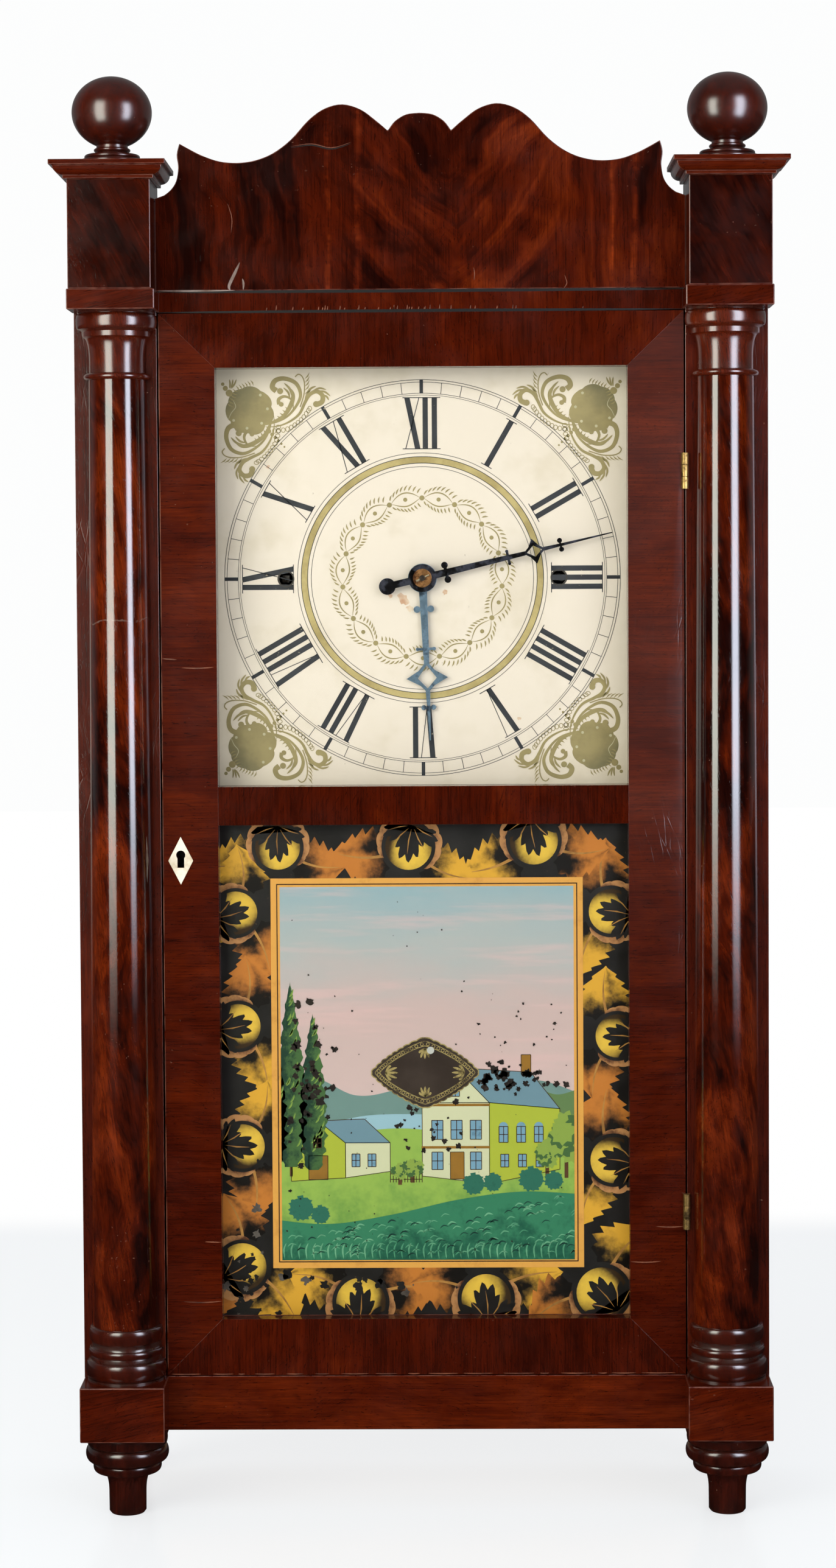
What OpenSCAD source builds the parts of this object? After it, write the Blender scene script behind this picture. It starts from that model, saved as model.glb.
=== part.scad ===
// Shelf clock with half columns, a hinged glazed door and a weight-driven wooden movement.
// Origin: on the floor, midway between the sides, midway between the front and back extremes.
// +X is the viewer's right, the front faces -Y, +Z is up.

/* [Case] */
// Width over the side boards
case_w = 426.6; // [400:1:480]
// Height from the top of the feet to the underside of the top board
case_h = 694.5; // [660:0.5:740]
// Depth from the front face of the stiles to the back
case_d = 112; // [110:1:150]
// Thickness of the side and bottom boards
board_t = 14; // [10:1:18]
// Thickness of the back board
back_t = 7; // [5:0.5:10]
// Thickness of the top board
top_t = 12.5; // [11:0.5:16]
// Width of each front stile
stile_w = 50.8; // [48:0.2:54]
// Thickness of the stiles, the apron and the door frame
frame_t = 18; // [16:0.5:22]
// Height of the feet
foot_h = 51; // [40:1:60]

/* [Blocks and crest] */
// How far the plinth, abacus and die blocks stand in front of the stiles
block_out = 30; // [28:0.5:36]
// Height of the plinth blocks and the apron
plinth_h = 34; // [28:1:42]
// Height of the die blocks above the top board
die_h = 66; // [56:1:76]
// Width of a die block
die_w = 50.4; // [46:0.2:54]
// Height of the cap moulding
cap_h = 10.7; // [9:0.1:14]
// How far the cap moulding overhangs its die block
cap_out = 10; // [6:0.5:12]
// Height of a finial
finial_h = 54.3; // [50:0.1:60]
// Thickness of the crest board
crest_t = 10; // [8:0.5:12]

/* [Columns and feet] */
// Distance of the column axis from the outer side of the case
column_in = 26.3; // [25.8:0.1:27]
// Shaft radius at its foot
shaft_r_low = 20.75; // [18:0.25:22]
// Shaft radius under the capital
shaft_r_high = 17.4; // [15:0.1:20]
// Radius of the widest torus of a column base
torus_r = 25.2; // [24:0.1:25.3]
// Height of a column base
base_h = 33; // [28:1:40]
// Height of a capital
capital_h = 41.5; // [38:0.5:48]
// Radius of the main ring of a foot
foot_r = 25.85; // [24:0.05:26]

/* [Door] */
// Width of the door's stiles
door_stile_w = 34.5; // [30:0.5:40]
// Height of the door's top rail
door_top_h = 33.4; // [28:0.2:40]
// Height of the door's middle rail
door_mid_h = 23.8; // [20:0.2:32]
// Height of the door's bottom rail
door_low_h = 35.1; // [30:0.1:42]
// Height of the opening in front of the dial
dial_sight_h = 258.5; // [252:0.1:262]
// Gap between the door and each stile
door_side_gap = 1; // [0.8:0.1:2]
// Gap above and below the door
door_end_gap = 0.6; // [0.5:0.1:1.5]
// Width of the rabbet that holds the glass
rabbet_w = 5; // [4:0.5:6]
// Thickness of the glass
glass_t = 2; // [1.5:0.1:3]
// Length of a hinge
hinge_h = 22; // [18:1:40]
// Radius of a hinge's knuckle
knuckle_r = 2.15; // [2:0.05:2.5]
// Travel of the lock bolt
bolt_travel = 4; // [3:0.5:5]

/* [Dial and hands] */
// Distance of the dial centre below the door's top
dial_down = 163.4; // [160:0.1:168]
// Distance of the dial's face behind the front of the case
dial_in = 26; // [25:0.5:28]
// Half width of the dial board
dial_half_w = 150; // [146:1:152]
// Height of the dial board
dial_h = 290; // [280:1:300]
// Thickness of the dial board
dial_t = 8; // [6:0.5:10]
// Distance from the dial centre to each winding hole
winding_x = 85.3; // [85.3:0.1:86]
// Radius of a winding hole
winding_hole_r = 4.5; // [4:0.1:6]
// Length of the minute hand
minute_l = 121.5; // [110:0.5:124]
// Length of the hour hand
hour_l = 101.5; // [90:0.5:106]
// Clockwise angle of the minute hand from twelve
minute_angle = 76.8; // [0:0.1:359]
// Clockwise angle of the hour hand from twelve
hour_angle = 177.5; // [0:0.1:359]

/* [Movement] */
// Half width of the wooden plates
plate_half_w = 104; // [100:1:110]
// Thickness of a movement plate
plate_t = 8; // [6:0.5:9]
// Space between the two plates
plate_space = 35; // [35:0.5:36]
// Module of the great wheels
great_m = 1.6; // [1.55:0.01:1.6]
// Radius of the winding drums
drum_r = 14.3; // [12:0.1:15]
// Radius of the cord
cord_r = 1.1; // [0.8:0.05:1.2]
// Radius of the bottom of a pulley's groove
pulley_r = 14.6; // [13:0.1:15]
// Radius of a weight
weight_r = 19; // [15:0.5:22]
// Length of a weight's body
weight_l = 145; // [120:1:160]
// Distance of a weight's shoulder below the top board
weight_down = 55.5; // [54:0.5:80]
// Distance from the pendulum's pivot to the middle of its bob
pendulum_l = 378; // [340:1:390]
// Radius of the pendulum's bob
bob_r = 24; // [18:0.5:30]
// Radius of the bell's mouth
bell_r = 32; // [26:1:34]

/* [Hidden] */
$fn = 64;

// The smallest step that keeps a cut clear of the face it opens
eps = 0.01;
// Running clearance of a shaft in its bore, on the radius
run = 0.05;
// Clearance between parts that slide or swing past each other
clear = 0.3;
// Hair-line gap between two pieces of one body that are pinned or glued together
joint = 0.02;

// Levels up the case
low_z = foot_h;
plinth_z = foot_h + plinth_h;
top_z = foot_h + case_h;
die_z = top_z + top_t;
cap_z = die_z + die_h;
finial_z = cap_z + cap_h;

// Levels from front to back
half_d = (block_out + cap_out + case_d) / 2;
face_y = -half_d + block_out + cap_out;
block_y = face_y - block_out;
frame_back_y = face_y + frame_t;
back_y = half_d;
board_y = back_y - back_t;

// Places across the case
case_x = case_w / 2;
inner_x = case_x - board_t;
stile_x = case_x - stile_w;
column_x = case_x - column_in;
die_x = case_x - die_w / 2;
block_half = 26.1;

// The door's own levels
door_x = stile_x - door_side_gap;
door_z = plinth_z + door_end_gap;
door_top_z = top_z - door_end_gap;
sight_x = door_x - door_stile_w;
low_rail_z = door_z + door_low_h;
top_rail_z = door_top_z - door_top_h;
dial_sight_z = top_rail_z - dial_sight_h;
mid_rail_z = dial_sight_z - door_mid_h;
glass_y = face_y + 9;
glass_gap = 0.3;
edge_bevel = 0.6;

// The hinge axis and where the hinges are
hinge_x = stile_x - door_side_gap / 2;
hinge_y = face_y - 1.5;
leaf_t = 1.5;
hinge_z = [door_z + 101.9, door_top_z - 98.4];

// The lock
lock_x = -door_x + 11.1;
lock_z = mid_rail_z - 18.3;
key_r = 2.85;
bolt_y = [glass_y + 2, glass_y + 5];

// The dial and the movement, from front to back
dial_y = face_y + dial_in;
dial_back_y = dial_y + dial_t;
front_plate_y = dial_back_y + 18;
wheels_y = front_plate_y + plate_t;
rear_plate_y = wheels_y + plate_space;
hand_z = door_top_z - dial_down;
rail_x = 131;
rail_t = 12;
plate_low = 94.5;
plate_high = 93.5;
arm_h = 20;

// Arbors of the time train, as [x, z] from the dial centre, with their tooth counts
great_n = 54;
leaf_n = 8;
second_n = 56;
third_n = 54;
small_n = 7;
centre_n = 18;
drive_n = 16;
escape_n = 42;
drive_m = 2.2;
train_m = 1.1;
function mesh(a, b, m) = (a + b) * m / 2;
function polar(r, a) = [r * cos(a), r * sin(a)];
great_at = [winding_x, 0];
second_reach = mesh(centre_n, drive_n, drive_m);
great_reach = mesh(great_n, leaf_n, great_m);
second_x = (pow(second_reach, 2) - pow(great_reach, 2) + pow(winding_x, 2)) / (2 * winding_x);
second_at = [second_x, sqrt(pow(second_reach, 2) - pow(second_x, 2))];
third_at = second_at + polar(mesh(second_n, small_n, train_m), 134.8);
escape_at = third_at + polar(mesh(third_n, small_n, train_m), 153.4);
verge_at = [-30, 74.5];
escape_r = 22;

// Arbors of the strike train
strike_great_n = 52;
strike_great_at = [-winding_x, 0];
strike_reach = mesh(strike_great_n, leaf_n, great_m);
pin_at = strike_great_at + polar(strike_reach, -32);
strike_third_at = pin_at + polar(mesh(second_n, small_n, train_m), -50);
fly_at = strike_third_at + polar(mesh(third_n, small_n, train_m), 5);
count_n = 78;
count_leaf_n = 6;
count_m = 0.9;
count_at = pin_at + polar(mesh(count_n, count_leaf_n, count_m), -100);
pin_count = 6;
pin_r = 1.2;
pin_clear = 0.8;
drum_flange_r = drum_r + 5.7;
pin_circle_r = strike_reach - drum_flange_r - pin_r - pin_clear;
hammer_at = [-78, -80];
tail_gap = 4.98;
lever_at = [30, -72];

// Motion work between the dial and the front plate
cannon_n = 12;
minute_n = 36;
hour_leaf_n = 10;
hour_n = 40;
hour_m = 1;
cannon_m = mesh(hour_n, hour_leaf_n, hour_m) * 2 / (cannon_n + minute_n);
motion_angle = -40;
motion_at = polar(mesh(hour_n, hour_leaf_n, hour_m), motion_angle);

// Layers of the wheels, measured back from the front plate's inner face
disc_layer = [wheels_y + 2, wheels_y + 7];
drive_layer = [wheels_y + 10, wheels_y + 15];
third_layer = [wheels_y + 18, wheels_y + 22];
great_layer = [wheels_y + 27, wheels_y + 32];
drum_layer = [wheels_y + 9, wheels_y + 25];
cord_y = wheels_y + 14;
arbor_r = 3;
slim_arbor_r = 2.4;
pivot_r = 1.5;
drum_arbor_r = 3.9;

// Cord, pulleys and weights
rod_r = 1.2;
cord_reach = drum_r + cord_r + 0.1;
pulley_reach = pulley_r + cord_r + 0.3;
drop_x = (rail_x + rail_t + inner_x) / 2 - 1.15;
pulley_x = drop_x - pulley_reach;
pulley_z = top_z + top_t / 2;
eye_r = 4.5;
eye_wire = 1.1;
weight_top_z = top_z - weight_down;
eye_z = weight_top_z + 6;
drop_low_z = eye_z + eye_r + eye_wire;
drop_high_z = pulley_z - 1;

// Pillars between the plates, as [x, z] from the dial centre
pillars = [[-72, 85], [72, 85], [-97, -87], [97, -87]];
pillar_r = 6;
pillar_tenon_r = 3.5;

wood = [0.36, 0.12, 0.07];
pale_wood = [0.78, 0.6, 0.38];
brass = [0.8, 0.62, 0.28];
iron = [0.25, 0.25, 0.27];
cream = [0.9, 0.84, 0.68];

// Places its children, drawn in the plane of the dial, from y0 back to y1
module across(at, y0, y1) {
    translate([at[0], y1, at[1]])
        rotate([90, 0, 0])
            linear_extrude(y1 - y0)
                children();
}

// A round bar along Y
module rod(at, y0, y1, r) {
    translate([at[0], y1, at[1]])
        rotate([90, 0, 0])
            cylinder(h = y1 - y0, r = r);
}

// A board between two corners
module board(low, high) {
    translate(low)
        cube(high - low);
}

// A turned piece from its outline of [radius, height] points
module turned(outline) {
    first = outline[0][1];
    last = outline[len(outline) - 1][1];
    rotate_extrude()
        polygon(concat([[0, first]], outline, [[0, last]]));
}

// The front half of a turned piece
module half_turned(outline) {
    first = outline[0][1];
    last = outline[len(outline) - 1][1];
    rotate([0, 0, 180])
        rotate_extrude(angle = 180)
            polygon(concat([[0, first]], outline, [[0, last]]));
}

// Outline of a bead that swells from a neck radius to r between two heights
function bead(neck, r, z0, z1, n = 8) =
    [for (i = [0:n]) [neck + (r - neck) * sin(180 * i / n), z0 + (z1 - z0) * (1 - cos(180 * i / n)) / 2]];
// Outline of a hollow flare from r0 at z0 to r1 at z1
function flare(r0, r1, z0, z1, n = 8) =
    [for (i = [0:n]) [r0 + (r1 - r0) * (1 - cos(90 * i / n)), z0 + (z1 - z0) * sin(90 * i / n)]];

// Both the left and the right copy of its children
module both_sides() {
    children();
    mirror([1, 0, 0])
        children();
}

// One tooth after another round a wheel; w values are shares of the pitch
function tooth_ring(n, m, add, ded, wide, tip, root) =
    [for (k = [0:n - 1], s = [[-ded, -root], [0, -wide], [add, -tip], [add, tip], [0, wide], [-ded, root]])
        polar(n * m / 2 + s[0] * m, 360 / n * (k + s[1]))];
module wheel_teeth(n, m) {
    polygon(tooth_ring(n, m, 0.8, 1, 0.2, 0.08, 0.25));
}
module pinion_leaves(n, m) {
    polygon(tooth_ring(n, m, 0.55, 1.1, 0.17, 0.07, 0.2));
}

// Direction of b seen from a
function toward(a, b) = atan2(b[1] - a[1], b[0] - a[0]);

// A wheel at a with a tooth pointing at b, and a pinion at b with a gap pointing back
module wheel_facing(a, b, n, m, layer) {
    across(a + [0, hand_z], layer[0], layer[1])
        rotate(toward(a, b))
            wheel_teeth(n, m);
}
module pinion_facing(b, a, n, m, layer) {
    across(b + [0, hand_z], layer[0], layer[1])
        rotate(toward(b, a) + 180 / n)
            pinion_leaves(n, m);
}

// An arbor between the plates with a pivot in each
module arbor(at, r) {
    rod(at + [0, hand_z], wheels_y + clear, rear_plate_y - clear, r);
    rod(at + [0, hand_z], front_plate_y + 2, rear_plate_y + plate_t - 2, pivot_r);
}

// Case boards
module side_boards() {
    color(wood)
        both_sides()
            board([inner_x, frame_back_y, low_z], [case_x, back_y, top_z]);
}
module top_board() {
    slot_half_x = 23;
    slot_half_y = 5;
    color(wood)
        difference() {
            board([-case_x, face_y, top_z], [case_x, back_y, die_z]);
            both_sides() {
                board([pulley_x - slot_half_x, cord_y - slot_half_y, top_z - eps],
                    [pulley_x + slot_half_x, cord_y + slot_half_y, die_z + eps]);
                rod([pulley_x, pulley_z], cord_y - 14, cord_y + 14, pivot_r);
            }
        }
}
module bottom_board() {
    color(wood)
        board([-inner_x, frame_back_y, low_z], [inner_x, board_y, low_z + board_t - 2]);
}
module back_board() {
    color(wood)
        board([-inner_x, board_y, low_z], [inner_x, back_y, top_z]);
}
module front_stiles() {
    color(wood)
        difference() {
            both_sides()
                board([stile_x, face_y, low_z], [case_x, frame_back_y, top_z]);
            for (z = hinge_z) {
                board([stile_x - eps, face_y - eps, z - hinge_h / 2],
                    [stile_x + leaf_t, frame_back_y + eps, z + hinge_h / 2]);
                translate([hinge_x, hinge_y, z - hinge_h / 2])
                    cylinder(h = hinge_h, r = knuckle_r + clear);
            }
            board([-stile_x - bolt_travel - 2, bolt_y[0] - 1, lock_z + 5],
                [-stile_x + eps, bolt_y[1] + 1, lock_z + 15]);
        }
}
module apron_rail() {
    color(wood)
        board([-stile_x, face_y, low_z], [stile_x, frame_back_y, plinth_z]);
}

// Blocks in front of the stiles: a plinth under each column and an abacus over it
module column_blocks() {
    abacus_extra = 1.3;
    color(wood)
        both_sides() {
            board([column_x - block_half, block_y, low_z], [column_x + block_half, face_y, plinth_z]);
            board([column_x - block_half, block_y, top_z],
                [column_x + block_half + abacus_extra, face_y, die_z]);
        }
}
module die_blocks() {
    color(wood)
        both_sides()
            board([die_x - die_w / 2, block_y, die_z], [die_x + die_w / 2, block_y + die_w, cap_z]);
}

// The cap moulding's overhang at each height, as a share of its full size
function cap_outline() = concat([[0, 0], [0.22, 0], [0.22, 0.17]],
    [for (a = [0:15:90]) [0.22 + 0.56 * sin(a), 0.2 + 0.5 * (1 - cos(a))]],
    [[1, 0.72], [1, 1], [0, 1]]);
module cap_side(half) {
    side = [for (p = cap_outline()) [half + p[0] * cap_out, p[1] * cap_h]];
    polygon(concat([[-half, 0]], side, [[-half, cap_h]]));
}
module cap_mouldings() {
    color(wood)
        both_sides()
            intersection() {
                across([die_x, cap_z], block_y - cap_out, block_y + die_w) {
                    cap_side(die_w / 2);
                    mirror([1, 0, 0])
                        cap_side(die_w / 2);
                }
                translate([die_x - die_w / 2 - cap_out, block_y + die_w / 2, cap_z])
                    rotate([90, 0, 90])
                        linear_extrude(die_w + 2 * cap_out)
                            mirror([1, 0, 0])
                                cap_side(die_w / 2);
            }
}

// The crest's right half as stretches of smooth curve, as [x, height above the top board], drawn for
// a crest of this half width and stretched to the one between the blocks
crest_drawn_w = 162.9;
crest_gap = 0.8;
crest_parts = [
    [[0, 108.5], [8, 107.6], [15, 103.5], [19.4, 97.8]],
    [[19.4, 97.8], [27, 104.3], [36, 110.8], [47, 114], [58, 111.5], [68, 104.5], [79, 92.6], [90, 84.5],
        [101, 80.2], [112, 78.8], [123, 79.8], [133, 83.2], [141, 87.2], [147.4, 90.8]],
    [[147.4, 90.8], [149, 84], [148.2, 76], [149.5, 68], [153, 62.5], [158, 58.6]]];
// A smooth curve through a list of points
function bend(a, b, c, d, t) =
    0.5 * (2 * b + (c - a) * t + (2 * a - 5 * b + 4 * c - d) * t * t + (3 * b - a - 3 * c + d) * t * t * t);
function smooth(p, n = 4) = [for (i = [0:len(p) - 2], k = [0:n - 1])
    bend(p[max(i - 1, 0)], p[i], p[i + 1], p[min(i + 2, len(p) - 1)], k / n)];
module crest_board() {
    half_w = die_x - die_w / 2;
    wider = half_w / crest_drawn_w;
    right = concat([for (part = crest_parts, p = smooth(part)) [p[0] * wider, p[1]]],
        [[half_w, 57.2], [half_w, crest_gap]]);
    left = [for (i = [len(right) - 1:-1:1]) [-right[i][0], right[i][1]]];
    color([0.5, 0.2, 0.08])
        across([0, die_z], face_y, face_y + crest_t)
            polygon(concat(right, left));
}

module finials() {
    ball_r = 24.5;
    ball_half = 21.9;
    ball_z = finial_h - ball_half;
    neck_r = 9.7;
    start = asin(neck_r / ball_r);
    ball = [for (a = [180 - start:-6:3]) [ball_r * sin(a), ball_z + ball_half * cos(a)]];
    color(wood)
        both_sides()
            translate([die_x, block_y + die_w / 2, finial_z])
                turned(concat(bead(19, 19.8, 0, 3.6), bead(15.4, 17, 3.8, 6.6), [[10.6, 7.2]],
                    bead(9.6, 11.2, 8.2, 10.6, 6), ball, [[0.01, finial_h]]));
}

// Half columns on the stiles
module column_bases() {
    color(wood)
        both_sides()
            translate([column_x, face_y, plinth_z])
                half_turned(concat([[24.2, 0], [24.2, 1]], bead(23.4, torus_r, 1.2, 12),
                    [[22.4, 12.6], [22.2, 14.4]], bead(22, 23.6, 15, 20), [[21.6, 20.6], [21.4, 23]],
                    bead(21.6, 23.3, 23.4, base_h)));
}
module column_shafts() {
    color(wood)
        both_sides()
            translate([column_x, face_y, plinth_z + base_h])
                half_turned([[shaft_r_low, 0], [shaft_r_high, case_h - plinth_h - base_h - capital_h]]);
}
module column_capitals() {
    h = capital_h;
    color(wood)
        both_sides()
            translate([column_x, face_y, top_z - h])
                half_turned(concat(bead(17.6, 20.5, 0, 4.2), [[17, 4.4], [17, 12]],
                    flare(17, 20.2, 12, h - 15.5), [[21, h - 15], [21, h - 12]], [[22.4, h - 11]],
                    bead(23.6, 25, h - 10.5, h - 1), [[24.2, h]]));
}

// Turned front feet and plain tapered rear ones
module feet() {
    rear_r = 16;
    color(wood)
        both_sides() {
            translate([column_x, face_y, 0])
                turned(concat([[10.4, 0], [11.5, 1.4], [11.6, foot_h - 38]],
                    flare(11.6, 15.4, foot_h - 37.5, foot_h - 25),
                    bead(19.4, 21.3, foot_h - 24.6, foot_h - 18), bead(23, foot_r, foot_h - 17.8, foot_h - 8),
                    bead(24, 25.2, foot_h - 7.8, foot_h)));
            translate([case_x - rear_r - 4, back_y - rear_r - 2, 0])
                turned([[10.5, 0], [11.5, 1], [rear_r - 1, foot_h - 8], [rear_r, foot_h - 6],
                    [rear_r, foot_h]]);
        }
}

// Hinges: the case leaf has the outer knuckles and the pin, the door leaf the middle one
knuckle_share = 3;
module knuckle(z, first, last, r) {
    step = hinge_h / knuckle_share;
    translate([hinge_x, hinge_y, z - hinge_h / 2 + first * step])
        cylinder(h = (last - first) * step, r = r);
}
module hinge_case_leaves() {
    gap = 0.2;
    color(brass)
        for (z = hinge_z) {
            difference() {
                union() {
                    board([stile_x, hinge_y, z - hinge_h / 2],
                        [stile_x + leaf_t, frame_back_y, z + hinge_h / 2]);
                    knuckle(z, 0, 1, knuckle_r);
                    knuckle(z, 2, 3, knuckle_r);
                }
                translate([0, 0, -gap / 2])
                    knuckle(z, 1, 2, knuckle_r + clear);
                translate([0, 0, gap / 2])
                    knuckle(z, 1, 2, knuckle_r + clear);
            }
            knuckle(z, 0.5, 2.5, 0.9);
        }
}
module hinge_door_leaves() {
    gap = 0.2;
    color(brass)
        for (z = hinge_z)
            difference() {
                union() {
                    board([door_x - leaf_t, hinge_y, z - hinge_h / 2], [door_x, frame_back_y, z + hinge_h / 2]);
                    knuckle(z, 1, 2, knuckle_r);
                }
                translate([0, 0, gap])
                    knuckle(z, -0.1, 1, knuckle_r + clear);
                translate([0, 0, -gap])
                    knuckle(z, 2, 3.1, knuckle_r + clear);
                knuckle(z, 0, 3, 0.9 + run);
            }
}

// The door's frame
module sight_rabbets() {
    board([-sight_x - rabbet_w, glass_y, dial_sight_z - rabbet_w],
        [sight_x + rabbet_w, frame_back_y + eps, top_rail_z + rabbet_w]);
    board([-sight_x - rabbet_w, glass_y, low_rail_z - rabbet_w],
        [sight_x + rabbet_w, frame_back_y + eps, mid_rail_z + rabbet_w]);
}
module stile_outline() {
    polygon([[sight_x, low_rail_z], [door_x, door_z], [door_x, door_top_z], [sight_x, top_rail_z]]);
}
module door_hinge_stile() {
    color(wood)
        difference() {
            across([0, 0], face_y, frame_back_y)
                stile_outline();
            sight_rabbets();
            for (z = hinge_z) {
                board([door_x - leaf_t, face_y - eps, z - hinge_h / 2],
                    [door_x + eps, frame_back_y + eps, z + hinge_h / 2]);
                translate([hinge_x, hinge_y, z - hinge_h / 2])
                    cylinder(h = hinge_h, r = knuckle_r + clear);
            }
        }
}
module door_lock_stile() {
    color(wood)
        difference() {
            intersection() {
                across([0, 0], face_y, frame_back_y)
                    mirror([1, 0, 0])
                        stile_outline();
                translate([0, 0, door_z])
                    linear_extrude(door_top_z - door_z)
                        polygon([[-door_x, face_y], [-sight_x, face_y], [-sight_x, frame_back_y],
                            [-door_x + edge_bevel, frame_back_y]]);
            }
            sight_rabbets();
            lock_outline_cut();
            escutcheon_body(0);
            keyhole(face_y - 1, glass_y + eps);
        }
}
module door_rails() {
    color(wood)
        difference() {
            across([0, 0], face_y, frame_back_y) {
                polygon([[-sight_x, top_rail_z], [sight_x, top_rail_z], [door_x, door_top_z],
                    [-door_x, door_top_z]]);
                polygon([[-door_x, door_z], [door_x, door_z], [sight_x, low_rail_z], [-sight_x, low_rail_z]]);
                translate([-sight_x, mid_rail_z])
                    square([2 * sight_x, door_mid_h]);
            }
            sight_rabbets();
            translate([-door_x, frame_back_y, door_z - 1])
                rotate([0, 0, -90 + atan(edge_bevel / frame_t)])
                    translate([0, -10, 0])
                        cube([2 * frame_t, 10, case_h]);
        }
}

// Glass and the strips that hold it in the rabbets
module pane(z0, z1) {
    board([-sight_x - rabbet_w + glass_gap, glass_y, z0 - rabbet_w + glass_gap],
        [sight_x + rabbet_w - glass_gap, glass_y + glass_t, z1 + rabbet_w - glass_gap]);
}
module dial_glass() {
    color([0.8, 0.9, 0.9, 0.3])
        pane(dial_sight_z, top_rail_z);
}
module tablet_glass() {
    color([0.4, 0.5, 0.45, 0.9])
        pane(low_rail_z, mid_rail_z);
}
module strip_frame(z0, z1) {
    x1 = sight_x + rabbet_w;
    y0 = glass_y + glass_t;
    difference() {
        board([-x1, y0, z0 - rabbet_w], [x1, frame_back_y - 1.5, z1 + rabbet_w]);
        board([-sight_x, y0 - eps, z0], [sight_x, frame_back_y, z1]);
    }
}
module glass_strips() {
    color(wood) {
        strip_frame(dial_sight_z, top_rail_z);
        strip_frame(low_rail_z, mid_rail_z);
    }
}

// The keyhole, its diamond and the lock
module keyhole(y0, y1) {
    rod([lock_x, lock_z], y0, y1, key_r);
    board([lock_x - 2.1, y0, lock_z - 7.9], [lock_x + 2.1, y1, lock_z]);
}
module escutcheon_body(proud) {
    across([lock_x, lock_z - 3.5], face_y - proud, face_y + 1.5)
        polygon([[-7.7, 0], [0, -14.85], [7.7, 0], [0, 14.85]]);
}
module keyhole_escutcheon() {
    color(cream)
        difference() {
            escutcheon_body(0.25);
            keyhole(face_y - 1, face_y + 2);
        }
}
lock_low = [lock_x - 7.1, glass_y, lock_z - 18];
lock_high = [lock_x + 13, frame_back_y, lock_z + 16];
lock_wall = 1.4;
module lock_outline_cut() {
    board(lock_low, lock_high + [0, eps, 0]);
    board([-door_x - 1, bolt_y[0] - clear, lock_z + 5.7],
        [lock_low[0] + eps, bolt_y[1] + clear, lock_z + 14.9]);
}
module lock_case() {
    wall = [lock_wall, lock_wall, lock_wall];
    color(iron)
        difference() {
            board(lock_low, lock_high);
            board(lock_low + wall, lock_high - wall);
            keyhole(glass_y - 1, glass_y + lock_wall + eps);
            board([lock_low[0] - 1, bolt_y[0] - clear, lock_z + 5.7],
                [lock_low[0] + lock_wall + eps, bolt_y[1] + clear, lock_z + 14.9]);
        }
}
module lock_bolt() {
    color(brass)
        board([-door_x + 0.7, bolt_y[0], lock_z + 6], [lock_high[0] - lock_wall - 2, bolt_y[1], lock_z + 14.4]);
}

// The dial
module dial_board() {
    color(cream)
        difference() {
            board([-dial_half_w, dial_y, hand_z - dial_h / 2],
                [dial_half_w, dial_back_y, hand_z + dial_h / 2]);
            rod([0, hand_z], dial_y - 1, dial_back_y + 1, 5.5);
            both_sides()
                rod([winding_x, hand_z], dial_y - 1, dial_back_y + 1, winding_hole_r);
            screw_places()
                rod([0, 0], dial_y - 1, dial_back_y + 1, 1.75);
        }
}
module screw_places() {
    both_sides()
        for (s = [-1, 1])
            translate([rail_x + rail_t / 2, 0, hand_z + s * (dial_h / 2 - 24)])
                children();
}
module dial_screws() {
    color(iron)
        screw_places() {
            rod([0, 0], dial_y, dial_back_y + 12, 1.75);
            difference() {
                rod([0, 0], dial_y - 2, dial_y, 3.8);
                board([-4, dial_y - 2.1, -0.4], [4, dial_y - 1.2, 0.4]);
            }
        }
}

// The movement's frame
module movement_rails() {
    color(pale_wood)
        difference() {
            both_sides()
                board([rail_x, dial_back_y, low_z + board_t - 2], [rail_x + rail_t, board_y, hand_z + 108.5]);
            screw_places()
                rod([0, 0], dial_back_y - 1, dial_back_y + 12, 1.75);
        }
}
module plate_outline() {
    translate([-plate_half_w, -plate_low])
        square([2 * plate_half_w, plate_low + plate_high]);
    for (z = [-plate_low, plate_high - arm_h])
        translate([-rail_x, z])
            square([2 * rail_x, arm_h]);
}
module bore_at(at, r) {
    rod(at + [0, hand_z], front_plate_y - 1, rear_plate_y + plate_t + 1, r + run);
}
module movement_plates() {
    color(pale_wood) {
        difference() {
            for (y = [front_plate_y, rear_plate_y])
                across([0, hand_z], y, y + plate_t)
                    plate_outline();
            for (at = [second_at, third_at, escape_at, pin_at, strike_third_at, fly_at, hammer_at, lever_at])
                bore_at(at, pivot_r);
            for (at = [great_at, strike_great_at])
                bore_at(at, drum_arbor_r);
            bore_at([0, 0], arbor_r);
            bore_at(verge_at, 2);
            for (at = [pin_at, lever_at])
                rod(at + [0, hand_z], front_plate_y - 1, wheels_y + eps, 2.5 + run);
            for (at = [motion_at, count_at])
                rod(at + [0, hand_z], front_plate_y - 1, front_plate_y + 6, 2.5 + joint);
            for (at = pillars)
                rod(at + [0, hand_z], front_plate_y - 1, rear_plate_y + plate_t + 1, pillar_tenon_r + joint);
        }
        for (at = pillars) {
            rod(at + [0, hand_z], wheels_y + joint, rear_plate_y - joint, pillar_r);
            rod(at + [0, hand_z], front_plate_y, rear_plate_y + plate_t, pillar_tenon_r);
        }
        rod(motion_at + [0, hand_z], dial_back_y + 1, front_plate_y + 5, 2.5);
        rod(count_at + [0, hand_z], front_plate_y - 7, front_plate_y + 5, 2.5);
    }
}

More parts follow.
